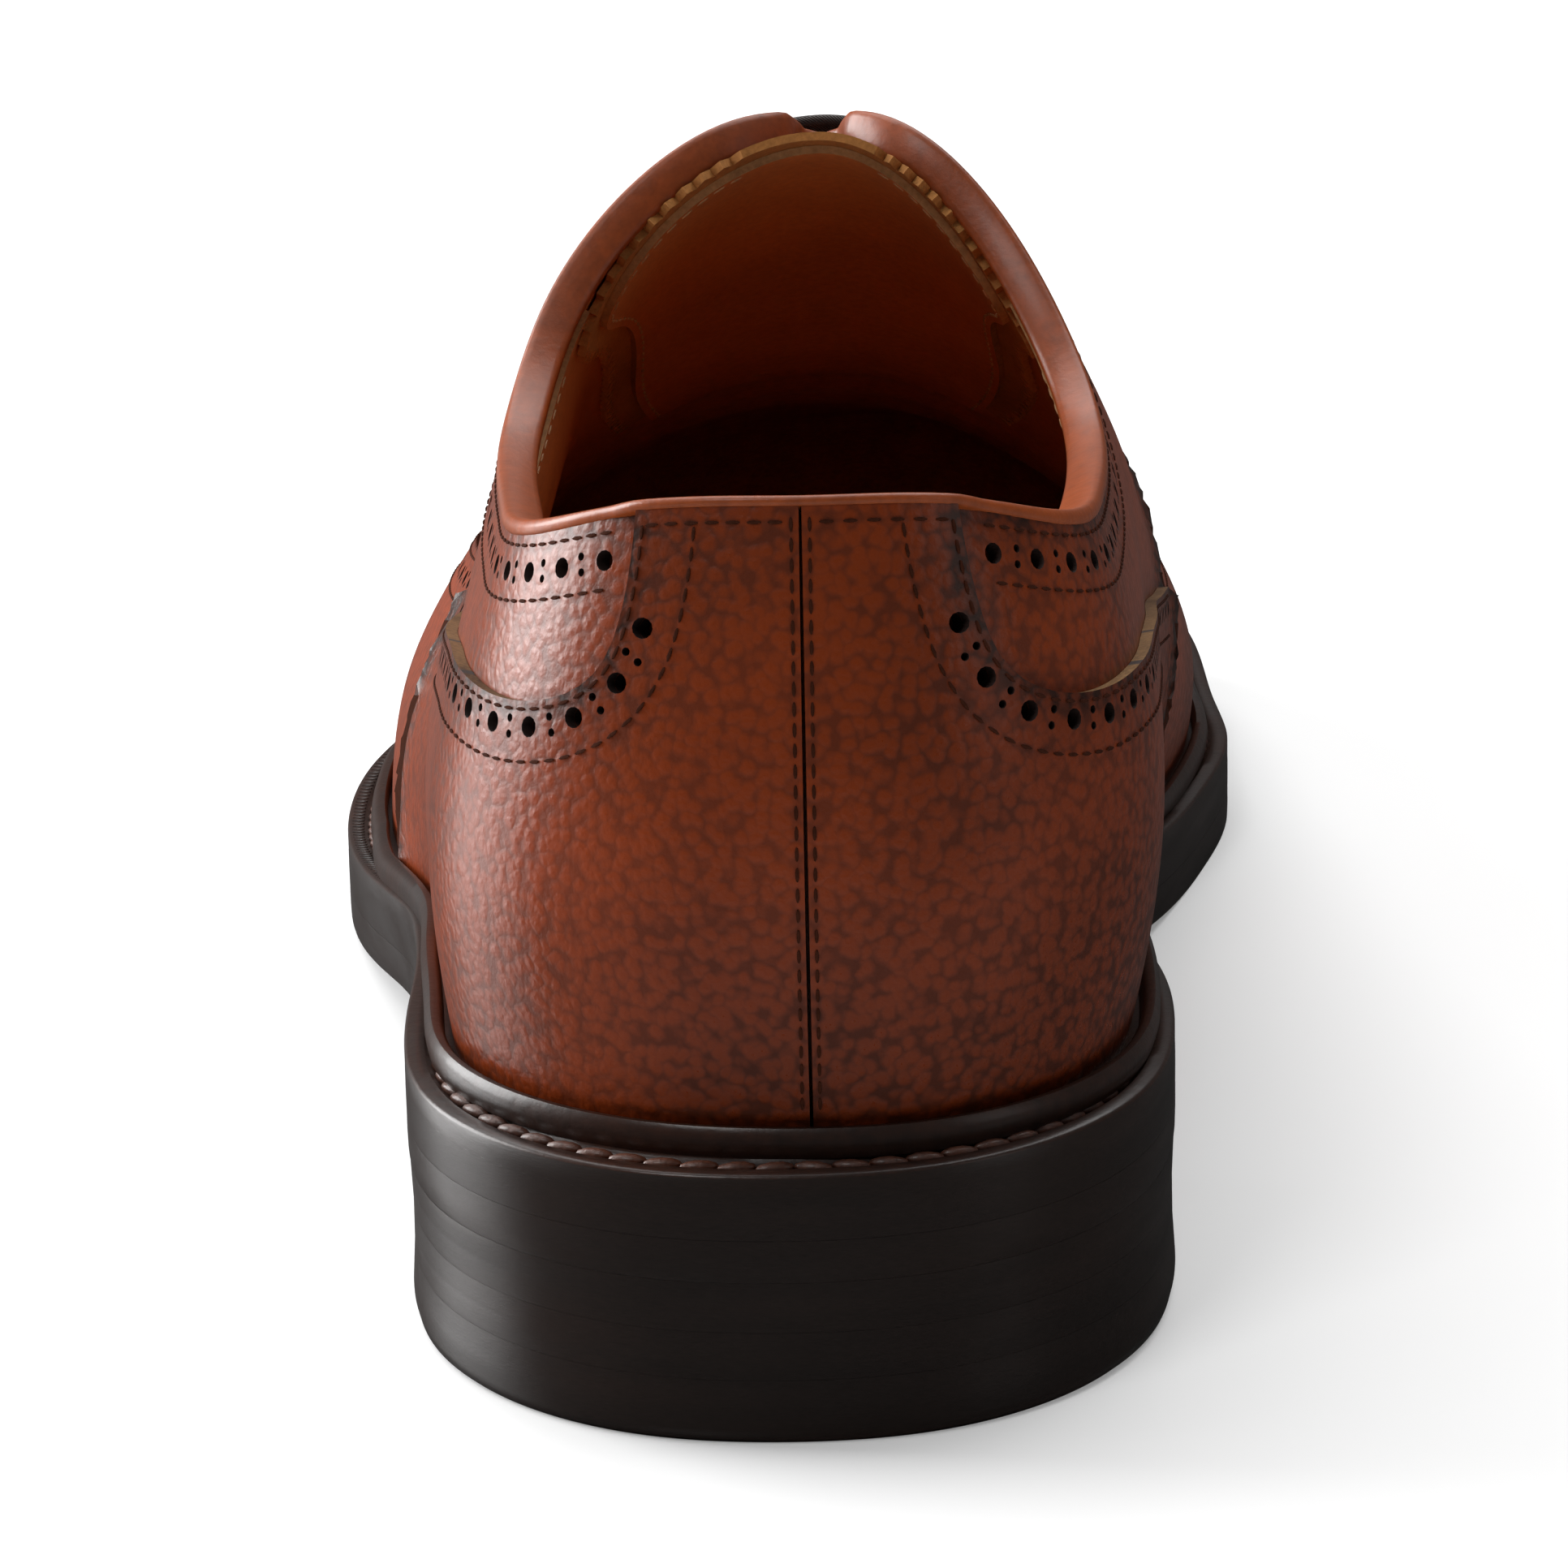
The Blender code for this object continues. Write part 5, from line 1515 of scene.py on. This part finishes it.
def make_stage():
    """The white floor, the soft lights and the camera."""
    scene = bpy.context.scene
    stage = scene.brogue_stage
    add_floor(stage)
    scene.world = studio_world(stage.sky)
    scene.view_settings.view_transform = "Standard"
    for name, place, size in SOFTBOXES:
        add_softbox(name, place, size, getattr(stage, name))
    add_camera()


def length(name, description, default, smallest=0.0, largest=0.05):
    return FloatProperty(
        name=name, description=description, default=default, min=smallest, max=largest,
        unit="LENGTH", precision=5,
    )


def color(name, description, default):
    return FloatVectorProperty(
        name=name, description=description, default=default, size=3, min=0, max=1, subtype="COLOR"
    )


def power(name, description, default):
    return FloatProperty(name=name, description=description, default=default, min=0, unit="POWER")


class BROGUE_PG_leather(bpy.types.PropertyGroup):
    """The colours and the grain"""

    upper_color: color("Upper", "Colour of the quarters and vamp", (0.235, 0.034, 0.0032))
    overlay_color: color("Overlays", "Colour of the wings", (0.225, 0.032, 0.0032))
    # The deep colour also paints shade: along the seams and on the walls of the punched holes
    deep_color: color("Burnish and painted shade", "Dark colour in the grain and along cut edges", (0.026, 0.0068, 0.0028))
    lining_color: color("Lining", "Colour of the lining", (0.62, 0.215, 0.058))
    binding_color: color("Binding", "Colour of the rolled topline bead", (0.30, 0.058, 0.009))
    raw_color: color("Raw edge", "Colour of undyed cut leather", (0.50, 0.270, 0.105))
    suede_color: color("Tongue's flesh side", "Colour of the tongue's inner face", (0.50, 0.215, 0.060))
    edge_color: color("Sole edge", "Darkest colour of the sole's edge", (0.0115, 0.0068, 0.0054))
    welt_color: color("Welt", "Colour of the welt's ledge and rib", (0.034, 0.0130, 0.0080))
    thread_color: color("Upper thread", "Colour of the upper's stitches", (0.050, 0.0150, 0.0080))
    welt_thread_color: color("Welt thread", "Colour of the thick welt stitches", (0.120, 0.036, 0.016))
    grain: length("Grain", "Width of one pebble of the leather", 0.00125, 0.0003, 0.005)
    grain_depth: length("Grain depth", "Height of the pebbles", 0.00012, 0.0, 0.002)
    grain_strength: FloatProperty(
        name="Grain strength", description="Share of the pebbles' height that shows", default=0.85,
        min=0, max=1, subtype="FACTOR",
    )


class BROGUE_PG_punching(bpy.types.PropertyGroup):
    """The holes, the saw-teeth and the stitches of the upper"""

    large_hole: length("Large hole", "Diameter of a large hole", 0.0020, 0.0005, 0.006)
    small_hole: length("Small hole", "Diameter of a small hole", 0.0008, 0.0003, 0.004)
    hole_pitch: length("Hole pitch", "Distance between large holes", 0.0058, 0.002, 0.02)
    pinking_pitch: length("Pinking pitch", "Width of a saw-tooth of the cut edges", 0.0020, 0.001, 0.01)
    pinking_depth: length("Pinking depth", "Depth of the saw-teeth", 0.0013, 0.0, 0.005)
    tongue_pitch: length("Tongue pinking", "Width of a saw-tooth of the tongue", 0.0026, 0.001, 0.01)
    tongue_depth: length("Tongue teeth", "Depth of the tongue's saw-teeth", 0.0017, 0.0, 0.005)
    stitch_pitch: length("Stitch pitch", "Distance between stitches", 0.0019, 0.001, 0.01)
    stitch_length: length("Stitch length", "Length of a stitch", 0.0016, 0.0005, 0.01)
    stitch_width: length("Stitch width", "Thickness of the thread", 0.00042, 0.0001, 0.002)


class BROGUE_PG_welt(bpy.types.PropertyGroup):
    """The welt's thread and its wheel marks"""

    thread_pitch: length("Thread pitch", "Distance between welt stitches", 0.0036, 0.001, 0.01)
    thread_length: length("Stitch length", "Length of a welt stitch", 0.0039, 0.001, 0.01)
    thread_width: length("Thread width", "Thickness of the welt thread", 0.00150, 0.0005, 0.004)
    thread_slant: FloatProperty(
        name="Slant", description="Turn of each stitch from the welt's run, in degrees", default=14.0,
        min=-45, max=45,
    )
    mark_pitch: length("Mark pitch", "Distance between the wheel marks", 0.0015, 0.0005, 0.005)


class BROGUE_PG_laces(bpy.types.PropertyGroup):
    """The lace's section"""

    width: length("Width", "Width of the flat lace", 0.0038, 0.001, 0.01)
    thickness: length("Thickness", "Thickness of the flat lace", 0.0015, 0.0005, 0.004)


class BROGUE_PG_stage(bpy.types.PropertyGroup):
    """The floor, the lights and the surroundings"""

    floor_size: FloatProperty(
        name="Floor", description="Side of the square floor", default=14.0, min=1, max=50, unit="LENGTH"
    )
    key: power("Key", "Power of the light on the left", 6.0)
    side: power("Side", "Power of the light beside the shoe", 22.0)
    top: power("Top", "Power of the light overhead", 56.0)
    fill: power("Fill", "Power of the light on the right", 1.0)
    floor_glow: FloatProperty(
        name="Floor glow", description="Light that the floor gives off near the shoe", default=0.24, min=0
    )
    sky: FloatProperty(name="Sky", description="Strength of the white surroundings", default=0.07, min=0)


def piece_operator(name, label, words, make):
    """An operator class that makes one piece, or one group of like pieces."""

    def execute(self, context):
        if not FINISHES:
            make_finishes()
        make(FINISHES)
        return {"FINISHED"}

    members = {
        "__doc__": words,
        "bl_idname": f"brogue.{name}",
        "bl_label": label,
        "bl_options": {"REGISTER", "UNDO"},
        "execute": execute,
    }
    return type(f"BROGUE_OT_{name}", (bpy.types.Operator,), members)


PIECE_OPERATORS = [
    piece_operator(*row)
    for row in (
        ("upper", "Upper", "Make the vamp and the linings", make_upper),
        ("quarters", "Quarters", "Make both quarters with their pinked fronts", make_quarters),
        ("wing_tails", "Wing tails", "Make the wings' rear ends round the heel", make_tails),
        ("wing_cap", "Wing cap", "Make the wing cap over the toe with its medallion", make_cap),
        ("tongue", "Tongue", "Make the pinked tongue and its lining", make_tongue),
        ("binding", "Binding", "Make the rolled bead along the topline", make_binding),
        ("seams", "Seams", "Sew the rows of stitches on the upper and its lining", make_seams),
        ("welt", "Storm welt", "Make the storm welt, its thread and its wheel marks", make_welt),
        ("soles", "Soles", "Make the midsole and the outsole", make_soles),
        ("heel", "Heel", "Stack the heel's lifts", make_heel),
        ("insole", "Insole", "Make the insole with its sock", make_insole),
        ("laces", "Laces", "Lay the lace bars through their eyelets", make_laces),
    )
]


class BROGUE_OT_stage(bpy.types.Operator):
    """Set the floor, the lights and the camera"""

    bl_idname = "brogue.stage"
    bl_label = "Stage"

    def execute(self, context):
        make_stage()
        return {"FINISHED"}


class BROGUE_PT_panel(bpy.types.Panel):
    """The brogue's sizes, colours and pieces"""

    bl_idname = "BROGUE_PT_panel"
    bl_label = "Longwing brogue"
    bl_space_type = "VIEW_3D"
    bl_region_type = "UI"
    bl_category = "Brogue"

    def draw(self, context):
        for name in GROUPS:
            group = getattr(context.scene, name)
            box = self.layout.box()
            box.label(text=name.replace("_", " ").capitalize())
            for prop in group.bl_rna.properties:
                if prop.identifier not in ("rna_type", "name"):
                    box.prop(group, prop.identifier)
        for operator in OPERATORS:
            self.layout.operator(operator.bl_idname)


GROUPS = {
    "brogue_leather": BROGUE_PG_leather,
    "brogue_punching": BROGUE_PG_punching,
    "brogue_welt": BROGUE_PG_welt,
    "brogue_laces": BROGUE_PG_laces,
    "brogue_stage": BROGUE_PG_stage,
}
OPERATORS = [*PIECE_OPERATORS, BROGUE_OT_stage]
CLASSES = [*GROUPS.values(), *OPERATORS, BROGUE_PT_panel]


def register():
    for made in CLASSES:
        bpy.utils.register_class(made)
    for name, group in GROUPS.items():
        setattr(bpy.types.Scene, name, PointerProperty(type=group))


def unregister():
    for name in GROUPS:
        delattr(bpy.types.Scene, name)
    for made in reversed(CLASSES):
        bpy.utils.unregister_class(made)


def main():
    register()
    for operator in OPERATORS:
        family, name = operator.bl_idname.split(".")
        getattr(getattr(bpy.ops, family), name)()


if __name__ == "__main__":
    main()
